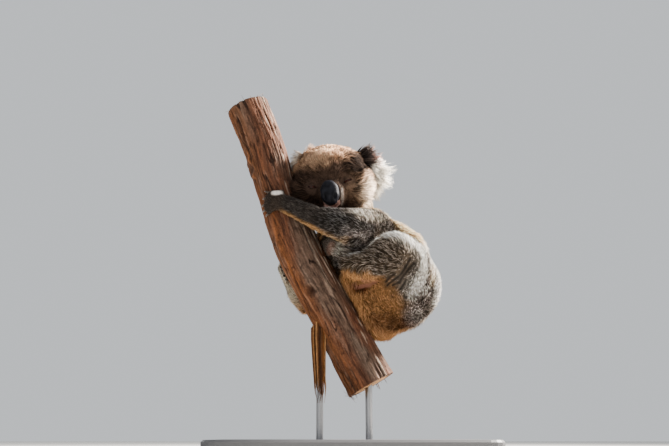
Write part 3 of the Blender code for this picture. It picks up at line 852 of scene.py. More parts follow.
def limbLayers(points, normals, weights, blotch):
    x, y, z = points.T
    nx, ny, nz = normals.T
    legs = regionWeight(weights, "thigh", "shin")
    trunk = regionWeight(weights, "rump", "chest", "neck")
    arms = regionWeight(weights, "upper_arm", "forearm")
    elbow = smoothstep(-0.20, -0.60, nz) * smoothstep(-0.030, 0.015, x) * arms * (y < -0.08)
    inner = smoothstep(0.0, -0.7, nx) * regionWeight(weights, "chest", "neck")
    # the rump and thigh paler on the side facing right: partly pale fur, partly painted sunlight
    rear = smoothstep(0.70, 0.92, nx + 0.10 * blotch) * regionWeight(weights, "rump", "thigh")
    # dark and pale hair mixed on a slant behind the thigh
    slanting = softNoise(np.stack([z - x, y * 0.3, (x + z) * 0.3], axis=1), 0.008, 2)
    patch = markMask(points, "mottle")
    # the thigh's pale rim and upper side, painted sunlight, and its dark fold, painted shade
    gap = lineGap(points, thighLines["rim"])[0] + 0.0035 * softNoise(points, 0.007, 11)
    rim = np.maximum(smoothstep(0.015, 0.006, gap), 0.25 * smoothstep(0.032, 0.012, gap))
    rim = rim * legs * (y < -0.03) * smoothstep(0.285, 0.325, z)
    rim = rim * (0.80 + 0.30 * softNoise(points, 0.005, 17))
    upper = smoothstep(0.60, 0.84, nz + 0.08 * blotch) * legs * smoothstep(0.12, 0.09, x)
    fold = smoothstep(0.0055, 0.0025, lineGap(points, thighLines["fold"])[0]) * (y < -0.02)
    # painted back light on the far leg, on its side towards the front
    facing = smoothstep(-0.2, 0.4, -ny - 0.4 * nx)
    # painted sunlight on the front of the upper arm and shoulder
    sunny = (arms + trunk) * smoothstep(0.0, -0.03, y) * (0.62 + 0.38 * softNoise(points, 0.008, 9))
    return [
        ("gold", goldMask(points, normals) * (trunk + legs) * 0.92),
        ("cream", smoothstep(-0.60, -0.90, nz + 0.12 * blotch) * arms * 0.9),
        ("haunch", elbow * 0.7),
        ("cream", inner * 0.85),
        # the trunk paler where it faces up and right: partly cream fur, partly painted sunlight
        ("backCream", smoothstep(0.35, 0.85, 0.45 * nx + 0.89 * nz) * trunk * 0.75),
        ("pale", rear * (0.6 + 0.35 * softNoise(points, 0.012, 16))),
        ("backCream", markMask(points, "tanRim") * 0.6),
        ("haunch", markMask(points, "haunch") * 0.75),
        ("haunch", patch * 0.6),
        ("mottle", patch * smoothstep(-0.10, 0.25, slanting) * 0.9),
        # painted sunlight along the thigh's rim and on its upper side
        ("pale", np.maximum(rim, upper * (y < -0.05) * 0.9)),
        # painted shade along the thigh's fold
        ("mottle", fold * 0.75),
        ("farLeg", markMask(points, "farLeg") * facing * 0.85),
        # painted shade low under the rump, in brown
        ("brown", markMask(points, "brown") * (0.7 + 0.3 * blotch)),
        ("stain", markMask(points, "stain") * (trunk + legs) * 0.85),
        ("bare", markMask(points, "bare") * (trunk + legs) * 0.9),
        # painted shade in the thigh's partings
        ("crease", creaseLines(points) * (legs + trunk) * 0.95),
        # painted shadow of the chin on the near arm
        ("armShade", markMask(points, "armShade") * arms * 0.7),
        ("sunny", markMask(points, "sunny") * sunny),
        ("footPale", markMask(points, "footPale") * 0.9),
        ("toePink", markMask(points, "toePink") * 0.7),
        # painted shadow in the gaps above and below the near foot
        ("crease", markMask(points, "gapAbove") * 0.9),
        ("crease", markMask(points, "gapBelow") * 0.9),
    ]


def coatShade(points, normals, weights):
    # the ground tones, with one layer of colour over another
    colours = weights @ np.array([tone(*ground) for ground in coatValues("tone")])
    blotch = softNoise(points, 0.020, 1)
    layers = limbLayers(points, normals, weights, blotch)
    layers += headLayers(points, normals, regionWeight(weights, "head"))
    for name, side in earSides:
        layers += earLayers(points, weights[:, fleshNames.index(name)], side)
    for name, mask in [*layers, ("pad", markMask(points, "pad"))]:
        colours = colours + (markTones[name] - colours) * np.clip(mask, 0, 1)[:, None]
    return np.clip(colours * (1 + 0.08 * blotch)[:, None], 0.002, 1)


skinColours = coatShade(skinPoints, skinNormals, skinWeights)
skinFinish = grainFinish(
    "skinFinish",
    {"Roughness": 0.85, "Specular IOR Level": 0.25},
    grain=(420.0, 0.35),
    bump=(0.6, 0.0012),
    attribute="skinColour",
)
skinMesh = makeMesh("skin", skinPoints, skinFaces)
# the skin is darkened under the tufts as painted shade, so gaps in the coat read as shadow, but not
# where it is bare
skinBare = [markMask(skinPoints, "pad"), markMask(skinPoints, "bare")]
skinBare += [eyeSlit, lipMask(inHead(skinPoints))]
underCoatShadow = 0.58 + 0.42 * np.max(skinBare, axis=0)
setColours(skinMesh, "skinColour", skinColours * underCoatShadow[:, None])
skin = place("skin", skinMesh, skinFinish)
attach(skin, "root")
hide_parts(*fleshNames)
print("skin done")


# the lie of the coat
flowPairs = {
    "neck": ("head", "chest"),
    "chest": ("neck", "rump"),
    "rump": ("chest", "rump"),
    "thigh": ("rump", "shin"),
    "shin": ("thigh", "foot"),
    "foot": ("shin", "foot"),
    "upper_arm": ("chest", "forearm"),
    "forearm": ("upper_arm", "hand"),
    "hand": ("forearm", "hand"),
}


def sided(name, side):
    return name + side if name + side in nodes else name


def layCoat(points, normals, weights, mates):
    flow = np.zeros_like(points)
    for k, name in enumerate(fleshNames):
        share = weights[:, k : k + 1]
        plain, _, side = name.rpartition("_")
        if name == "head":
            flow += share * unit(points - nosePlace - headTurn @ np.array((0, 0.01, 0.006)))
        elif plain == "ear":
            centre = middle(name)
            root = centre + (headCentre - centre) * 0.55
            flow += share * unit(points - root + np.array((0.012, 0, -0.022)))
        else:
            start, end = flowPairs[plain if plain else name]
            step = middle(sided(end, "_" + side)) - middle(sided(start, "_" + side))
            if name == "rump":
                step = unit(step) + np.array((0, 0, -0.8))
            flow += share * unit(step)
    flow -= normals * (flow * normals).sum(axis=1, keepdims=True)
    flow = mates.smooth(unit(flow), 10)
    flow -= normals * (flow * normals).sum(axis=1, keepdims=True)
    return unit(flow)


skinFlow = layCoat(skinPoints, skinNormals, skinWeights, skinMates)

coatMake = {
    "width": 0.00085,
    "widthFrom": 0.016,  # tufts shorter than this are finer too
    "earLength": (0.025, 0.006, 0.020),  # at the base, more at the rim, more low down
    "bandLength": 0.026,
    "noseAt": (0, -0.082, -0.036),
    "near": {"nose": 0.28, "eye": 0.72, "parting": 0.45, "foot": 0.5},  # how far tufts shorten
    "cheekLonger": 0.85,
    "rise": {"most": 0.75, "least": 0.16, "cheek": 0.22, "ear": 0.26, "band": 0.55},
    "vary": {
        "length": (0.72, 1.2),
        "width": (0.75, 1.2),
        "rise": (0.7, 1.35),
        "ear": (0.2, 1.3),
        "pull": (0.4, 1.2),
    },
    "curl": {"slow": (0.18, 0.018), "quick": (0.10, 0.0075), "ear": (1.1, 0.007)},  # turn and size
    "bandWay": (0.78, -0.25, -0.58),
    "swing": (0.16, 0.16),  # of a tuft's direction, and how much more over the body
    "lock": (2.6, 2.0, 10.0),  # tufts that lean together, and more on head and ears
    "pull": (0.36, 0.45),  # how far they lean, and more on the ears
    "sunk": 0.0006,
    "flat": 0.6,  # thickness over width
    "taper": 1.6,
    "shade": (0.34, 0.74),  # at the root, and more at the tip
    "tipFrom": (0.10, 0.75),
    "patch": 0.003,
}


def scatterRoots(points, faces, weights):
    # even steps along the running total of the area, so tufts stay evenly spread
    thick = (weights @ (1 / coatValues("spacing") ** 2))[faces].mean(axis=1)
    local = inHead(points[faces].mean(axis=1))
    muzzle = smoothstep(0.045, 0.030, span(local - (0, -0.075, -0.040)))
    thick = thick * (1 + 0.5 * muzzle)
    size = span(faceNormals(points, faces)) / 2
    total = np.cumsum(size * thick)
    marks = np.arange(int(total[-1])) + chance.random(int(total[-1]))
    owner = np.searchsorted(total, np.minimum(marks, total[-1] - 1e-6))
    u, v = randomPair(len(owner))
    return faces[owner], np.stack([1 - u - v, u, v], axis=1)


tuftCorners, tuftShares = scatterRoots(skinPoints, skinFaces, skinWeights)


def atRoots(values):
    return (values[tuftCorners] * tuftShares[:, :, None]).sum(axis=1)


roots, rootWeights = atRoots(skinPoints), atRoots(skinWeights)
rootNormals, rootFlow = unit(atRoots(skinNormals)), unit(atRoots(skinFlow))
rootSlit, rootGroove = atRoots(eyeSlit[:, None])[:, 0], atRoots(mouthGroove[:, None])[:, 0]
headShare = regionWeight(rootWeights, "head")
earShare = regionWeight(rootWeights, "ear")
bodyShare = 1 - regionWeight(rootWeights, "head", "ear")
bandShare = earBand(roots) * headShare
print("roots:", len(roots))

perchLine = {
    "points": [
        (0.041, 0.0, 0.140),
        (0.003, 0.003, 0.210),
        (-0.038, 0.003, 0.286),
        (-0.072, 0.0, 0.348),
        (-0.106, -0.003, 0.413),
        (-0.152, -0.003, 0.536),
        (-0.182, 0.0, 0.636),
        (-0.222, 0.002, 0.735),
    ],
    "radii": [0.0500, 0.0480, 0.0470, 0.0475, 0.0480, 0.0445, 0.0440, 0.0450],
    "rings": 380,
    "around": 208,
    "wrap": 0.047,
    "length": 0.66,
    "endSteps": 16,
    "knots": [
        {"share": 0.78, "turn": 205.0, "size": 0.020, "depth": 0.006},
        {"share": 0.34, "turn": -112.0, "size": 0.016, "depth": 0.008},
        {"share": 0.52, "turn": 70.0, "size": 0.018, "depth": 0.005},
    ],
}


def alongPerch(share):
    # middle, radius and direction at a share of the branch's length, on smooth joins
    stops = np.array(perchLine["points"])
    radii = np.array(perchLine["radii"])
    reach = np.concatenate([[0], np.cumsum(span(np.diff(stops, axis=0)))])
    slope = np.gradient(stops, reach, axis=0)
    spot = np.atleast_1d(share) * reach[-1]
    k = np.clip(np.searchsorted(reach, spot, side="right") - 1, 0, len(stops) - 2)
    step = reach[k + 1] - reach[k]
    t, step = ((spot - reach[k]) / step)[:, None], step[:, None]
    middles = (1 + 2 * t) * (1 - t) ** 2 * stops[k] + t * (1 - t) ** 2 * step * slope[k]
    middles = middles + t**2 * (3 - 2 * t) * stops[k + 1] + t**2 * (t - 1) * step * slope[k + 1]
    way = unit(slope[k] * (1 - t) + slope[k + 1] * t)
    return middles, np.interp(spot, reach, radii), way


perchSpots, perchSizes, perchWays = alongPerch(np.linspace(0, 1, 120))


def perchDepth(points):
    # how far inside the branch each point lies, negative outside
    best = np.full(len(points), -1.0)
    for spot, size in zip(perchSpots, perchSizes):
        best = np.maximum(best, size - span(points - spot))
    return best


def tuftSizes():
    near, lift, vary = coatMake["near"], coatMake["rise"], coatMake["vary"]
    lengths = rootWeights @ coatValues("length")
    depths = rootWeights @ coatValues("depth")
    local = inHead(roots)
    nearNose = span(local - coatMake["noseAt"])
    short = near["nose"] + (1 - near["nose"]) * smoothstep(0.018, 0.075, nearNose)
    cheek = smoothstep(0.034, 0.058, np.abs(local[:, 0])) * smoothstep(0.015, -0.010, local[:, 2])
    lengths *= 1 + headShare * (short * (1 + coatMake["cheekLonger"] * cheek) - 1)
    for centre, _ in eyeSides:
        lengths *= 1 - near["eye"] * smoothstep(0.022, 0.012, span(roots - centre))
    rise = np.clip(1.25 * depths / lengths, lift["least"], lift["most"])
    rise = rise * (1 - 0.45 * headShare) + lift["cheek"] * headShare * cheek
    base, more, fringe = coatMake["earLength"]
    for name, _ in earSides:
        share = rootWeights[:, fleshNames.index(name)]
        low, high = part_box(name)
        offset = roots - middle(name)
        rim = smoothstep(0.15, 0.60, span(offset / np.array((high - low) / 2)))
        under = smoothstep(0.010, -0.012, (offset @ headTurn)[:, 2])
        shaggy = fringe * under * chance.uniform(*vary["ear"], len(roots))
        lengths = lengths * (1 - share) + share * (base + more * rim + shaggy)
        rise = rise * (1 - share) + share * lift["ear"]
    lengths = lengths * (1 - bandShare) + bandShare * coatMake["bandLength"]
    rise = rise * (1 - bandShare) + bandShare * lift["band"]
    lengths *= 1 - near["parting"] * smoothstep(0.010, 0.004, partingGap(roots)[0])
    nearFoot = smoothstep(0.050, 0.026, span(roots - middle("foot_left")))
    lengths *= 1 - near["foot"] * nearFoot * (1 - regionWeight(rootWeights, "foot"))
    lengths *= chance.uniform(*vary["length"], len(roots))
    return lengths, np.clip(rise, 0.10, 0.8)


tuftLengths, tuftRise = tuftSizes()
fineness = np.clip(tuftLengths / coatMake["widthFrom"], 0.42, 1.0)
tuftWidths = coatMake["width"] * fineness * chance.uniform(*coatMake["vary"]["width"], len(roots))


def spread():
    # each tuft's direction at the root and at the tip, before clumping
    crown = headShare * smoothstep(0.010, 0.030, inHead(roots)[:, 2])
    (slow, slowSize), (quick, quickSize), (ear, earSize) = coatMake["curl"].values()
    curl = slow * softNoise(roots, slowSize, 8)
    curl = curl + (quick + 1.0 * crown) * softNoise(roots, quickSize, 13)
    curl = curl + ear * earShare * softNoise(roots, earSize, 17)
    wide, wider = coatMake["swing"]
    swing = chance.normal(0, 1, len(roots)) * (wide + wider * bodyShare) + curl
    flow = unit(rootFlow + np.cross(rootNormals, rootFlow) * swing[:, None])
    flow = flow + (headTurn @ np.array(coatMake["bandWay"]) - flow) * bandShare[:, None]
    gap, along = partingGap(roots)
    along = along * np.where((along * flow).sum(axis=1) < 0, -1, 1)[:, None]
    flow = flow + (along - flow) * smoothstep(0.012, 0.005, gap)[:, None]
    flow = unit(flow - rootNormals * (flow * rootNormals).sum(axis=1, keepdims=True))
    rise = tuftRise * chance.uniform(*coatMake["vary"]["rise"], len(roots))
    rise = np.clip(rise, 0.06, 0.95)[:, None]
    start = unit(flow * np.sqrt(1 - rise**2) * 0.8 + rootNormals * (rise + 0.18))
    end = unit(flow + rootNormals * rise * 0.35)
    return start, end


tuftStart, tuftEnd = spread()
tuftTips = roots + tuftLengths[:, None] * (tuftStart + tuftEnd) / 2
tuftMids = roots + (tuftTips - roots) * 0.5
# body tufts take the colour of the place they cover, those of the head and ears their root's
tuftCover = roots + (tuftMids - roots) * bodyShare[:, None] * 1.3
rootColours = coatShade(tuftCover, rootNormals, rootWeights)


def gatherTips():
    # neighbours lean together into locks
    lock, headLock, earLock = coatMake["lock"]
    pull, earPull = coatMake["pull"]
    crowd = lock + headLock * headShare + earLock * earShare
    picks = np.flatnonzero(chance.random(len(roots)) < 1 / crowd)
    lead = nearestLabel(roots[picks], picks, roots)
    gap = span(roots - roots[lead])
    same = (rootNormals * rootNormals[lead]).sum(axis=1) > 0.6
    pull = (pull + earPull * earShare) * same * smoothstep(0.014, 0.006, gap)
    pull = pull * chance.uniform(*coatMake["vary"]["pull"], len(roots))
    aim = tuftTips[lead] + rootNormals[lead] * 0.0005
    return (aim - tuftTips) * pull[:, None], lead


tipPull, tuftLead = gatherTips()
print("tufts laid")


def bakeSpots(where, facing):
    # six flat views of the skin's own shape, side by side
    axis = np.argmax(np.abs(facing), axis=1)
    sign = facing[np.arange(len(facing)), axis] > 0
    low = where.min(axis=0)
    size = (where.max(axis=0) - low).max() * 1.08 + 1e-6
    flat = (where - low) / size
    first = np.choose(axis, [flat[:, 1], flat[:, 0], flat[:, 0]])
    second = np.choose(axis, [flat[:, 2], flat[:, 2], flat[:, 1]])
    margin = 0.01  # between one view and the next
    u = (axis + margin + first * (1 - 2 * margin)) / 3
    v = (sign + margin + second * (1 - 2 * margin)) / 2
    return np.stack([u, v], axis=1)


coatFinish = grainFinish(
    "coatFinish",
    {"Roughness": 0.70, "Specular IOR Level": 0.12},
    grain=(1600.0, 0.16),
    bump=(0.15, 0.0003),
    attribute="coatColour",
)


def tuftFaces(stages):
    # three sides from ring to ring, closed with one face at the root and a point at the tip
    tip = stages * 3
    faces = [(0, 2, 1)]
    for k in range(stages):
        for side in range(3):
            a, b = k * 3 + side, k * 3 + (side + 1) % 3
            faces += [(a, b, tip)] if k == stages - 1 else [(a, b, a + 3), (b, b + 3, a + 3)]
    return np.array(faces)


def growPiece(name, picks, stages):
    # tapered, curved, three sided tufts as one mesh
    root, length = roots[picks], tuftLengths[picks][:, None]
    start, end, pull = tuftStart[picks], tuftEnd[picks], tipPull[picks]
    across = unit(np.cross(start, rootNormals[picks]))
    shares = np.linspace(0, 1, stages + 1)
    swell = 1 - shares ** coatMake["taper"]
    swell[0] = 0.8
    rows = []
    for k, s in enumerate(shares):
        centre = root + length * (s * start + s * s * (end - start) / 2) + pull * s * s
        centre = centre - rootNormals[picks] * coatMake["sunk"]
        if k == stages:
            rows.append(centre)
            continue
        upward = unit(np.cross(across, start * (1 - s) + end * s))
        for turn in (90, 210, 330):
            turn = math.radians(turn)
            side = math.cos(turn) * across + math.sin(turn) * upward * coatMake["flat"]
            rows.append(centre + side * (tuftWidths[picks] * swell[k])[:, None])
    block = np.stack(rows, axis=1)
    per = block.shape[1]
    every = tuftFaces(stages)[None] + (np.arange(len(picks)) * per)[:, None, None]
    every = every.reshape(-1, 3)
    mesh = makeMesh(name, block.reshape(-1, 3), every)
    height = shares[np.arange(per) // 3]
    low, more = coatMake["shade"]
    colours = tuftTint[picks][:, None] * (low + more * height)[None, :, None]
    mix = smoothstep(*coatMake["tipFrom"], height)[None, :] * tuftTipShare[picks][:, None]
    colours = colours + (tuftTipTint[picks][:, None] - colours) * mix[:, :, None]
    setColours(mesh, "coatColour", colours.reshape(-1, 3))
    layer = mesh.uv_layers.new(name="OFBake")
    corner = np.stack([(np.arange(per) % 3) / 2 - 0.5, height - 0.5], axis=1) * coatMake["patch"]
    corner[-1, 0] = 0
    spots = (bakeSpots(root, rootNormals[picks])[:, None] + corner[None]).reshape(-1, 2)
    layer.data.foreach_set("uv", spots[every.ravel()].astype(np.float32).ravel())
    piece = place(name, mesh, coatFinish)
    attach(piece, "root")
    return len(every)


grizzle = {
    "dark": (0.45, 0.60),  # the share of tufts that are dark, and how much darker
    "tipped": 0.60,  # the draw above which a tuft is tipped pale
    "tip": (1.6, 0.9, 0.26),  # the tip's lift over the root, and more where the coat isn't calm
    "swing": (0.10, 0.12, 0.30),  # of the lightness from lock to lock, more on body and ears
}


def tintTufts():
    # locks near the local tone, some dark, some tipped pale, fewer where it is golden or bright
    count = len(roots)
    bright = rootColours.mean(axis=1)
    gold = np.maximum(goldMask(roots, rootNormals), goldMask(tuftTips, rootNormals))
    lively = (1 - 0.85 * gold * bodyShare) * (1 - 0.55 * smoothstep(0.22, 0.50, bright))
    lockDraw = chance.random(count)[tuftLead]
    draw = 0.5 * lockDraw + 0.5 * chance.random(count)
    still, body, ear = grizzle["swing"]
    swing = still + body * bodyShare * lively + ear * earShare
    light = chance.normal(1.0, 0.15, count) * (1 + chance.normal(0, 1, count)[tuftLead] * swing)
    dark, darker = grizzle["dark"]
    light = np.where(draw < dark, light * (1 - darker * lively), light)
    tint = np.clip(rootColours * np.clip(light, 0.18, 1.9)[:, None], 0.002, 0.95)
    lift, more, paler = grizzle["tip"]
    tips = rootColours * (lift + more * lively[:, None]) + paler * (lively * bodyShare)[:, None]
    tips = np.clip(tips, 0, 0.94)
    share = np.where(draw > grizzle["tipped"], chance.uniform(0.6, 1.0, count), 0.03)
    share = share * (0.25 + 0.75 * bodyShare)
    for name, _ in earSides:
        pale = rootWeights[:, fleshNames.index(name)] * smoothstep(0.16, 0.45, bright)
        tips = tips + (markTones["fringe"] - tips) * pale[:, None]
        share = np.maximum(share, pale * chance.uniform(0.6, 1.0, count))
    return tint, tips, share


tuftTint, tuftTipTint, tuftTipShare = tintTufts()


# the limits past which a tuft would cover a bare place, and so is left out
tuftLimits = {
    "slit": 0.15,
    "groove": 0.35,
    "lips": 0.3,
    "nose": ((0.0190, 0.0150, 0.0255), 1.02),
    "lidAtRoot": (0.0026, 0.0105, 0.016),  # above the slit, along it, and from the eye
    "lidAlong": (0.0014, 0.0085, 0.017),
    "pad": 0.45,
    "bare": 0.6,
    "crease": 0.40,
    "perch": 0.002,
    "faceEnds": -0.022,
}


def clearLids(where, keep, bowLimit, acrossLimit, reach):
    # no tuft lies over the line where the lids meet
    for centre, side in eyeSides:
        bow, across, offset = lidBow(where, centre, side)
        off = (np.abs(bow) > bowLimit) | (np.abs(across) > acrossLimit)
        keep &= off | (span(offset) > reach)


def sortTufts():
    # leave out the tufts that would cover bare places, and share the rest out to their pieces
    local, limit = inHead(roots), tuftLimits
    noseRadii, noseLimit = limit["nose"]
    keep = span((local - inHead(nosePlace)) / noseRadii) > noseLimit
    keep &= (rootSlit < limit["slit"]) & (rootGroove < limit["groove"])
    keep &= lipMask(local) < limit["lips"]
    clearLids(roots, keep, *limit["lidAtRoot"])
    for where in (tuftMids, tuftTips):
        clearLids(where, keep, *limit["lidAlong"])
    for where in (roots, tuftMids, tuftTips):
        keep &= (markMask(where, "pad") < limit["pad"]) & (markMask(where, "bare") < limit["bare"])
        keep &= creaseLines(where) < limit["crease"]
    keep &= perchDepth(roots + tuftLengths[:, None] * tuftStart * 0.5) < limit["perch"]
    label = rootWeights.argmax(axis=1)
    pieces = {}
    for k, name in enumerate(fleshNames):
        picks = np.flatnonzero((label == k) & keep)
        if name == "head":
            first, names = local[picks, 1] < limit["faceEnds"], ("coat_face", "coat_crown")
        elif name in ("rump", "chest"):
            first = roots[picks, 1] < middle(name)[1]
            names = (f"coat_{name}_left", f"coat_{name}_right")
        else:
            first, names = np.ones(len(picks), bool), ("coat_" + name,)
        for half, full in zip((first, ~first), names):
            pieces[full] = (picks[half], 3 if name.startswith("ear") else 2)
    return pieces


coatTotal = 0
for coatName, (coatPicks, coatStages) in sortTufts().items():
    coatTotal += growPiece(coatName, coatPicks, coatStages)
    print(coatName, len(coatPicks))
print("coat done:", coatTotal, "triangles")


# the nose pad
nosePad = {
    "radii": (0.0190, 0.0150, 0.0260),
    "lean": -14.0,
    "rows": 96,
    "around": 128,
    "square": 2.6,
    "nostril": {"x": 0.0095, "z": -0.0125, "wide": 0.0030, "tall": 0.0052, "depth": 0.0065},
    "rim": 0.0012,
    "seam": 0.0010,
}


def capped(rowPoints, low, high):
    # rows of points round a form, closed with a fan at both ends
    rows, around = rowPoints.shape[:2]
    points = np.vstack([low[None], rowPoints.reshape(-1, 3), high[None]])
    side = np.arange(around)
    after = (side + 1) % around
    base = np.arange(rows - 1)[:, None] * around + 1
    a, b = (base + side).ravel(), (base + after).ravel()
    walls = [np.stack([a, b, b + around], axis=1), np.stack([a, b + around, a + around], axis=1)]
    top = (rows - 1) * around + 1
    bottom = np.stack([np.zeros_like(side), after + 1, side + 1], axis=1)
    lid = np.stack([np.full_like(side, len(points) - 1), top + side, top + after], axis=1)
    return points, np.vstack([*walls, bottom, lid])


def sculptNose():
    radii, square = np.array(nosePad["radii"]), nosePad["square"]
    rise = np.linspace(-math.pi / 2, math.pi / 2, nosePad["rows"] + 2)[1:-1, None]
    turn = np.linspace(0, 2 * math.pi, nosePad["around"], endpoint=False)[None]
    form = [np.cos(rise) * np.cos(turn), np.cos(rise) * np.sin(turn), np.sin(rise) + 0 * turn]
    form = np.stack(form, axis=-1)
    # spoon shape: square shouldered, wider and fuller below, flatter in front
    form = form * (np.abs(form) ** square).sum(axis=-1, keepdims=True) ** (-1 / square)
    height = form[..., 2]
    wide = 0.86 + 0.14 * smoothstep(0.95, 0.30, height) - 0.20 * smoothstep(-0.25, -1.0, height)
    form[..., 0] *= wide
    bulge = 0.84 + 0.14 * smoothstep(0.5, -0.4, height)
    form[..., 1] = np.where(form[..., 1] < 0, form[..., 1] * bulge, form[..., 1])
    points = form * radii
    front = points[..., 1] < 0
    hole = nosePad["nostril"]
    side = np.abs(points[..., 0]) - hole["x"]
    drop = points[..., 2] - hole["z"] - 0.5 * side
    pit = ridge(side, hole["wide"]) * ridge(drop, hole["tall"]) * front
    rim = ridge(side, hole["wide"] * 1.9) * ridge(drop, hole["tall"] * 1.5) * front
    seam = ridge(points[..., 0], 0.0011) * smoothstep(-0.006, -0.014, points[..., 2]) * front
    points[..., 1] += hole["depth"] * pit - nosePad["rim"] * rim + nosePad["seam"] * seam
    points += 0.0003 * softNoise(points, 0.004, 12)[..., None] * unit(points)
    turned = headTurn @ np.array(Matrix.Rotation(math.radians(nosePad["lean"]), 3, "X"))
    end = np.array((0, 0, radii[2]))
    return capped(*(rows @ turned.T + nosePlace for rows in (points, -end, end)))


noseFinish = patchyFinish(
    "noseLeather",
    {"Roughness": 0.46, "Specular IOR Level": 0.08},
    noise={"Scale": 90.0, "Detail": 5.0},
    stops=((0.35, tone(24, 24, 27)), (0.72, tone(44, 44, 50))),
    bump=(0.55, 0.0006),
    pebble=900.0,
)
nose = place("nose_pad", makeMesh("nose_pad", *sculptNose()), noseFinish)
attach(nose, "root")
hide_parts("nose")
print("nose done")


def dressNode(name, finish):
    slots = nodes[name].material_slots
    if slots:
        slots[0].material = finish
    else:
        nodes[name].data.materials.append(finish)


# eyes: the frame's own balls, behind the lids
eyeFinish = patchyFinish(
    "eyeGlass",
    {"Roughness": 0.22, "Specular IOR Level": 0.45, "Coat Weight": 0.2, "Coat Roughness": 0.12},
    noise={"Scale": 260.0, "Detail": 4.0},
    stops=((0.38, tone(30, 17, 14)), (0.68, tone(96, 44, 32))),
)
for eyeName in ("eye_left", "eye_right"):
    dressNode(eyeName, eyeFinish)

# claws: smoothed horn, paler in streaks
clawFinish = patchyFinish(
    "clawHorn",
    {"Roughness": 0.32, "Specular IOR Level": 0.5},
    noise={"Scale": 420.0, "Detail": 4.0, "Distortion": 0.6},
    stops=((0.36, tone(44, 38, 34)), (0.70, tone(98, 86, 74))),
    bump=(0.4, 0.0003),
)


def smoothClaw(name):
    form = joinedForm(nodes[name].data)
    mesh = bpy.data.meshes.new(name + "_horn")
    form.to_mesh(mesh)
    form.free()
    claw = place(name + "_horn", mesh, clawFinish)
    soften = claw.modifiers.new("soften", "SUBSURF")
    soften.levels = 2
    soften.render_levels = 2
    applied(claw).shade_smooth()
    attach(claw, "root")
    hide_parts(name)


for clawName in [name for name in sorted(nodes) if name.startswith("claw")]:
    smoothClaw(clawName)
print("eyes and claws done")


# the branch
barkMake = {
    "lump": 0.0022,
    "fissure": 0.0042,
    "crack": 0.0014,
    "ridge": 0.0008,
    "grain": 0.0005,
    "sunk": 0.0012,
    "shade": 0.70,
    "fibres": 3400.0,
    "fibreLength": 0.034,
    "fibreWidth": 0.0011,
    "seed": 4,
    # each noise of the bark: its width round the branch, its length along it, and its seed
    "bend": (0.030, 0.110, 21),
    "coarse": (0.0078, 0.075, 22),
    "medium": (0.0040, 0.034, 23),
    "fine": (0.0020, 0.012, 24),
    "plates": (0.016, 0.040, 25),
    "swells": (0.060, 0.090, 26),
    "greys": (0.035, 0.080, 31),
    "flakes": (0.0045, 0.030, 32),
    "rust": (0.010, 0.060, 33),
}
barkTones = {
    "red": tone(112, 76, 58),
    "orange": tone(150, 96, 58),
    "grey": tone(106, 86, 74),
    "pale": tone(214, 196, 178),
    "deep": tone(38, 25, 20),
    "knot": tone(58, 38, 28),
    "rim": tone(96, 66, 48),
    "wood": tone(190, 150, 108),
    "growth": tone(146, 104, 70),
    "heart": tone(150, 110, 78),
}


def barkNoise(turn, height, name):
    # noise on the branch's own wrap, long along it and joined round it
    wide, long, seed = barkMake[name]
    wrap = perchLine["wrap"]
    ring = np.stack([np.cos(turn) * wrap, np.sin(turn) * wrap, height * wide / long], axis=-1)
    return softNoise(ring, wide, seed)


def barkRelief(turn, height):
    bent = turn + 0.12 * barkNoise(turn, height, "bend")
    coarse, medium, fine, plates = (
        barkNoise(bent, height, name) for name in ("coarse", "medium", "fine", "plates")
    )
    fissures = smoothstep(0.14, 0.02, np.abs(coarse)) * np.clip(0.55 + 0.6 * plates, 0, 1)
    small = smoothstep(0.20, 0.04, np.abs(medium)) * np.clip(0.6 - 0.5 * plates, 0, 1)
    return fissures, small, medium, fine


def barkColour(turn, height, fissures, small, medium, fine):
    # red brown with grey sides, rusty below, pale and flaky above, dark in the cracks
    rusty = 0.45 + 0.35 * barkNoise(turn, height, "rust")
    flaky = smoothstep(0.20, 0.65, barkNoise(turn, height, "flakes"))
    upper = smoothstep(0.35, 0.95, np.cos(turn + 0.15))
    layers = (
        ("grey", smoothstep(-0.2, 0.5, barkNoise(turn, height, "greys"))),
        ("orange", smoothstep(-0.1, -0.8, np.cos(turn)) * rusty),
        ("pale", np.clip(flaky * 0.08 + upper * flaky * 0.60, 0, 1)),
    )
    colour = barkTones["red"]
    for name, mask in layers:
        colour = colour + (barkTones[name] - colour) * mask[..., None]
    colour = colour * (1 + 0.34 * fine + 0.26 * medium)[..., None]
    dark = np.clip(fissures * 0.9 + small * 0.6, 0, 1)[..., None]
    return np.clip((colour + (barkTones["deep"] - colour) * dark) * barkMake["shade"], 0.003, 0.95)


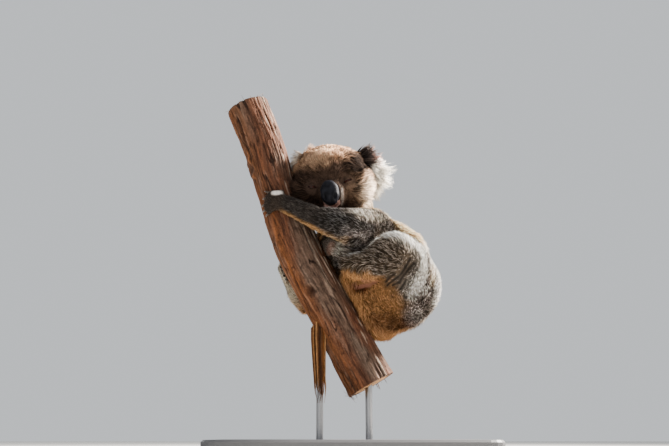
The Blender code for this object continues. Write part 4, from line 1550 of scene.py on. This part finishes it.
def sweepBark():
    share = np.linspace(0, 1, perchLine["rings"])
    middles, size, way = alongPerch(share)
    outward = unit(np.cross((0.0, 1.0, 0.0), way))
    sideways = unit(np.cross(way, outward))
    turn = np.linspace(0, 2 * math.pi, perchLine["around"], endpoint=False)
    turns, heights = np.meshgrid(turn, share * perchLine["length"])
    fissures, small, medium, fine = barkRelief(turns, heights)
    relief = barkMake["lump"] * barkNoise(turns, heights, "swells")
    relief = relief + barkMake["ridge"] * medium + barkMake["grain"] * fine
    relief = relief - barkMake["fissure"] * fissures - barkMake["crack"] * small - barkMake["sunk"]
    ring = np.zeros_like(relief)
    for knot in perchLine["knots"]:
        gap = (turns - math.radians(knot["turn"]) + math.pi) % (2 * math.pi) - math.pi
        rise = (heights - knot["share"] * perchLine["length"]) * 0.8
        gap = np.hypot(gap * perchLine["wrap"], rise) / knot["size"]
        swell = np.exp(-((gap - 0.75) ** 2) / 0.05) * 0.45 - np.exp(-(gap**2) / 0.10)
        relief = relief + knot["depth"] * swell
        ring = np.maximum(ring, np.exp(-(gap**2) / 0.25))
    radius = (size[:, None] + relief)[..., None]
    cos, sin = np.cos(turns)[..., None], np.sin(turns)[..., None]
    rows = middles[:, None] + radius * (cos * outward[:, None] + sin * sideways[:, None])
    colours = barkColour(turns, heights, fissures, small, medium, fine)
    colours = colours + (barkTones["knot"] - colours) * (0.75 * ring)[..., None]
    return middles[0], middles[-1], rows, colours


def cutEnd(centre, edge):
    # a sawn end: rings of points from the edge in to the middle, with its rings of growth
    shares = np.linspace(1, 0, perchLine["endSteps"] + 1)[1:-1, None, None]
    rows = centre + (edge[None] - centre) * shares
    gap = span(rows - centre)
    growth = 0.5 + 0.5 * np.sin(gap * 2600 + 3 * softNoise(rows, 0.02, 42))
    wood = barkTones["wood"]
    timber = wood + (barkTones["growth"] - wood) * (0.7 * growth)[..., None]
    rim = smoothstep(0.036, 0.041, gap)[..., None]
    return rows, timber + (barkTones["rim"] - timber) * rim


def branchMesh():
    bottom, top, rows, colours = sweepBark()
    (low, lowWood), (high, highWood) = cutEnd(bottom, rows[0]), cutEnd(top, rows[-1])
    points, faces = capped(np.concatenate([low[::-1], rows, high]), bottom, top)
    tint = np.concatenate([lowWood[::-1], colours, highWood]).reshape(-1, 3)
    ends = barkTones["heart"][None]
    mesh = makeMesh("perch_bark", points, faces)
    setColours(mesh, "barkColour", np.vstack([ends, tint, ends]))
    return mesh


barkFinish = grainFinish(
    "barkFinish",
    {"Roughness": 0.82, "Specular IOR Level": 0.25},
    grain=(260.0, 0.28),
    bump=(0.8, 0.0012),
    attribute="barkColour",
)


def fibreStrand():
    # one loose fibre of bark: a thin, low arched strip, closed
    steps, points, faces = 5, [], []
    for k in range(steps + 1):
        s = k / steps
        taper = max(0.15, math.sin(math.pi * min(max(s, 0.04), 0.96)) ** 0.6)
        lift = 0.10 * math.sin(math.pi * s) + 0.03 * math.sin(7 * s)
        for x, z in ((-0.5, 0.0), (0.0, 0.45), (0.5, 0.0)):
            points.append((x * taper, s - 0.5, z * taper * 0.5 + lift * 0.5))
    for k in range(steps):
        for side in range(3):
            a, b = k * 3 + side, k * 3 + (side + 1) % 3
            faces += [(a, b, b + 3), (a, b + 3, a + 3)]
    faces += [(0, 2, 1), (steps * 3, steps * 3 + 1, steps * 3 + 2)]
    return makeMesh("fibreStrand", np.array(points), np.array(faces))


def fibreTree():
    tree = bpy.data.node_groups.new("barkFibres", "GeometryNodeTree")
    sizes = [("Density", "Float", 3000.0), ("Length", "Float", 0.03), ("Width", "Float", 0.001)]
    rest = [("Seed", "Int", 1), ("Finish", "Material")]
    addSockets(tree, "INPUT", [("Geometry", "Geometry"), ("Strand", "Object"), *sizes, *rest])
    addSockets(tree, "OUTPUT", [("Geometry", "Geometry")])
    given = tree.nodes.new("NodeGroupInput")
    result = tree.nodes.new("NodeGroupOutput")
    scatter = addNode(tree, "GeometryNodeDistributePointsOnFaces", distribute_method="RANDOM")
    named = "GeometryNodeInputNamedAttribute"
    along = addNode(tree, named, data_type="FLOAT_VECTOR", Name="grainWay")
    sample = addNode(tree, named, data_type="FLOAT_COLOR", Name="barkColour")
    aimNormal = addNode(tree, "FunctionNodeAlignRotationToVector", axis="Z")
    aimAlong = addNode(tree, "FunctionNodeAlignRotationToVector", axis="Y", pivot_axis="Z")
    draws = []
    for seed, low, high in ((3, -0.09, 0.09), (4, 0.35, 1.25), (5, 0.5, 1.6)):
        draw = addNode(tree, "FunctionNodeRandomValue", data_type="FLOAT", Seed=seed)
        draw.inputs[2].default_value = low
        draw.inputs[3].default_value = high
        draws.append(draw)
    twist, grow, thin = draws
    turned = addNode(tree, "FunctionNodeRotateRotation", rotation_space="LOCAL")
    toTurn = addNode(tree, "FunctionNodeAxisAngleToRotation", Axis=(0, 0, 1))
    long = addNode(tree, "ShaderNodeMath", operation="MULTIPLY")
    wide = addNode(tree, "ShaderNodeMath", operation="MULTIPLY")
    size = addNode(tree, "ShaderNodeCombineXYZ")
    strand = tree.nodes.new("GeometryNodeObjectInfo")
    copies = tree.nodes.new("GeometryNodeInstanceOnPoints")
    stored = {"data_type": "FLOAT_COLOR", "domain": "INSTANCE", "Name": "barkColour"}
    keepColour = addNode(tree, "GeometryNodeStoreNamedAttribute", **stored)
    carried = addNode(tree, "GeometryNodeCaptureAttribute")
    carried.capture_items.new("VECTOR", "way")
    carried.capture_items.new("RGBA", "shade")
    real = tree.nodes.new("GeometryNodeRealizeInstances")
    dress = tree.nodes.new("GeometryNodeSetMaterial")
    wire(
        tree,
        (given, "Geometry", carried, "Geometry"),
        (along, "Attribute", carried, "way"),
        (sample, "Attribute", carried, "shade"),
        (carried, "Geometry", scatter, "Mesh"),
        (given, "Density", scatter, "Density"),
        (given, "Seed", scatter, "Seed"),
        (scatter, "Normal", aimNormal, "Vector"),
        (aimNormal, "Rotation", aimAlong, "Rotation"),
        (carried, "way", aimAlong, "Vector"),
        (twist, 1, toTurn, "Angle"),
        (aimAlong, "Rotation", turned, "Rotation"),
        (toTurn, "Rotation", turned, "Rotate By"),
        (grow, 1, long, 0),
        (given, "Length", long, 1),
        (thin, 1, wide, 0),
        (given, "Width", wide, 1),
        (wide, 0, size, "X"),
        (long, 0, size, "Y"),
        (wide, 0, size, "Z"),
        (given, "Strand", strand, "Object"),
        (strand, "Geometry", copies, "Instance"),
        (scatter, "Points", copies, "Points"),
        (turned, "Rotation", copies, "Rotation"),
        (size, "Vector", copies, "Scale"),
        (copies, "Instances", keepColour, "Geometry"),
        (carried, "shade", keepColour, "Value"),
        (keepColour, "Geometry", real, "Geometry"),
        (real, "Geometry", dress, "Geometry"),
        (given, "Finish", dress, "Material"),
        (dress, "Geometry", result, "Geometry"),
    )
    return tree


def setInputs(modifier, values):
    for item in modifier.node_group.interface.items_tree:
        if item.in_out == "INPUT" and item.name in values:
            modifier[item.identifier] = values[item.name]


def growFibres(branch):
    strandPiece = place("fibreStrand", fibreStrand())
    carrier = place("perch_fibres", branch.data.copy())
    mesh = carrier.data
    points, _ = readMesh(mesh)
    nearest = np.argmin(np.abs(points[:, None, 2] - perchSpots[None, :, 2]), axis=1)
    way = mesh.attributes.new("grainWay", "FLOAT_VECTOR", "POINT")
    way.data.foreach_set("vector", perchWays[nearest].astype(np.float32).ravel())
    grow = carrier.modifiers.new("fibres", "NODES")
    grow.node_group = fibreTree()
    values = {
        "Strand": strandPiece,
        "Density": barkMake["fibres"],
        "Length": barkMake["fibreLength"],
        "Width": barkMake["fibreWidth"],
        "Seed": barkMake["seed"],
        "Finish": barkFinish,
    }
    setInputs(grow, values)
    applied(carrier).shade_smooth()
    bpy.data.objects.remove(strandPiece)
    return carrier


branch = place("perch_bark", branchMesh(), barkFinish)
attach(branch, "root")
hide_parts("perch")
fibres = growFibres(branch)
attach(fibres, "root")
print("branch done:", len(branch.data.polygons), "faces,", len(fibres.data.polygons), "in fibres")


# the loose strip of bark: narrow ribbons side by side, frayed at their ends
stripMake = {
    "line": [
        ((-0.0640, -0.0230, 0.2660), 0.0150),
        ((-0.0645, -0.0275, 0.2300), 0.0145),
        ((-0.0630, -0.0285, 0.1800), 0.0125),
        ((-0.0610, -0.0255, 0.1350), 0.0110),
        ((-0.0590, -0.0240, 0.1040), 0.0070),
    ],
    "ribbons": 13,
    "steps": 60,
    "thickness": 0.0007,
    "sway": 0.0035,
    "overlap": 0.05,
    "tones": (tone(122, 80, 46), tone(94, 62, 38), tone(72, 48, 32), tone(142, 106, 72)),
}


def stripLine(share):
    # middle and half width along the strip, top to bottom
    stops = np.array([spot for spot, _ in stripMake["line"]])
    halves = np.array([half for _, half in stripMake["line"]])
    reach = np.linspace(0, 1, len(stops))
    middles = np.stack([np.interp(share, reach, stops[:, k]) for k in range(3)], axis=-1)
    return middles, np.interp(share, reach, halves)


def stripRibbon(start, end, low, high, seed):
    # one closed ribbon between two shares of the length and two shares of the width
    steps = stripMake["steps"]
    share = np.linspace(start, end, steps)
    middles, half = stripLine(share)
    none = np.zeros(steps)
    fray = smoothstep(0.45, 1.0, (share - start) / (end - start))
    waver = softNoise(np.stack([share * 0.4, none, none + seed * 0.07], axis=-1), 0.05, seed)
    sway = stripMake["sway"] * fray * waver
    narrow = 1 - 0.75 * fray**3
    mid = (low + high) / 2
    ripple = softNoise(np.stack([share * 0.25, none + seed, none], axis=-1), 0.012, seed + 3)
    depth = 0.0016 * math.sin(2.4 * mid + seed) + 0.0006 * ripple
    depth = depth + 0.003 * fray * math.sin(seed * 2.1)
    rows = []
    for across, proud in ((low, 0.0), (mid, -0.5), (high, 0.0), (mid, 0.5)):
        x = (mid + (across - mid) * narrow) * half + sway
        y = depth + 2 * proud * stripMake["thickness"]
        rows.append(middles + np.stack([x, y, none], axis=-1))
    ring = np.stack(rows, axis=1)
    return capped(ring, ring[0].mean(axis=0), ring[-1].mean(axis=0))


def stripMesh():
    points, faces, colours, total = [], [], [], 0
    count, overlap = stripMake["ribbons"], stripMake["overlap"]
    edges = np.linspace(-1, 1, count + 1)
    for k in range(count):
        start = chance.uniform(0.0, 0.10)
        end = chance.uniform(0.62, 1.0) if k % 3 else 1.0
        spots, sides = stripRibbon(start, end, edges[k] - overlap, edges[k + 1] + overlap, k + 1)
        base = stripMake["tones"][chance.integers(0, 4)]
        grain = softNoise(spots * (1, 1, 0.12), 0.0016, 61)[:, None]
        points.append(spots)
        faces.append(sides + total)
        colours.append(np.clip(base * (1 + 0.35 * grain), 0.004, 1))
        total += len(spots)
    mesh = makeMesh("perch_strip_fray", np.vstack(points), np.vstack(faces))
    setColours(mesh, "barkColour", np.vstack(colours))
    return mesh


strip = place("perch_strip_fray", stripMesh(), barkFinish)
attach(strip, "root")
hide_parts("perch_strip")
print("strip done")


# the stand: painted board and brushed steel rods
paintFinish = grainFinish(
    "standPaint",
    {"Roughness": 0.5},
    grain=(900.0, 0.05),
    bump=(0.25, 0.0004),
    colour=tone(84, 84, 86),
)
steelFinish = grainFinish(
    "standSteel",
    {"Metallic": 1.0, "Roughness": 0.32},
    grain=(60.0, 0.12),
    bump=(0.2, 0.0002),
    colour=tone(150, 150, 152),
    stretch=(1, 1, 60),
)
dressNode("stand_base", paintFinish)
for rodName in ("stand_rod_front", "stand_rod_rear"):
    dressNode(rodName, steelFinish)


# floor and lights
def addFloor(half):
    corners = np.array([(-1, -1, 0), (1, -1, 0), (1, 1, 0), (-1, 1, 0)]) * half
    pale = tone(226, 224, 220)
    finish = grainFinish("floorPale", {"Roughness": 0.7}, grain=(40.0, 0.02), colour=pale)
    floor = place("floor", makeMesh("floor", corners, np.array([(0, 1, 2), (0, 2, 3)])), finish)


lightRig = {
    "key": {"at": (1.60, 0.35, 1.70), "size": 0.55, "power": 320.0, "colour": (1.0, 0.95, 0.88)},
    "fill": {"at": (-1.2, -2.6, 1.5), "size": 2.2, "power": 20.0, "colour": (0.94, 0.97, 1.0)},
    "back": {"at": (-1.4, 2.0, 1.6), "size": 1.8, "power": 16.0, "colour": (1.0, 0.98, 0.95)},
    "aim": (0, 0, 0.42),
    "world": {"Color": (0.90, 0.93, 0.96, 1), "Strength": 0.62},
}


def addLight(name):
    make = lightRig[name]
    data = bpy.data.lights.new(name, "AREA")
    data.size = make["size"]
    data.energy = make["power"]
    data.color = make["colour"]
    lamp = bpy.data.objects.new(name, data)
    lamp.location = make["at"]
    way = Vector(lightRig["aim"]) - lamp.location
    lamp.rotation_euler = way.to_track_quat("-Z", "Y").to_euler()
    scene.collection.objects.link(lamp)


addFloor(half=6.0)
for lightName in ("key", "fill", "back"):
    addLight(lightName)
world = bpy.data.worlds.new("studio")
world.use_nodes = True
for socketName, socketValue in lightRig["world"].items():
    world.node_tree.nodes["Background"].inputs[socketName].default_value = socketValue
scene.world = world
scene.view_settings.look = "AgX - Medium High Contrast"

print("stage set")
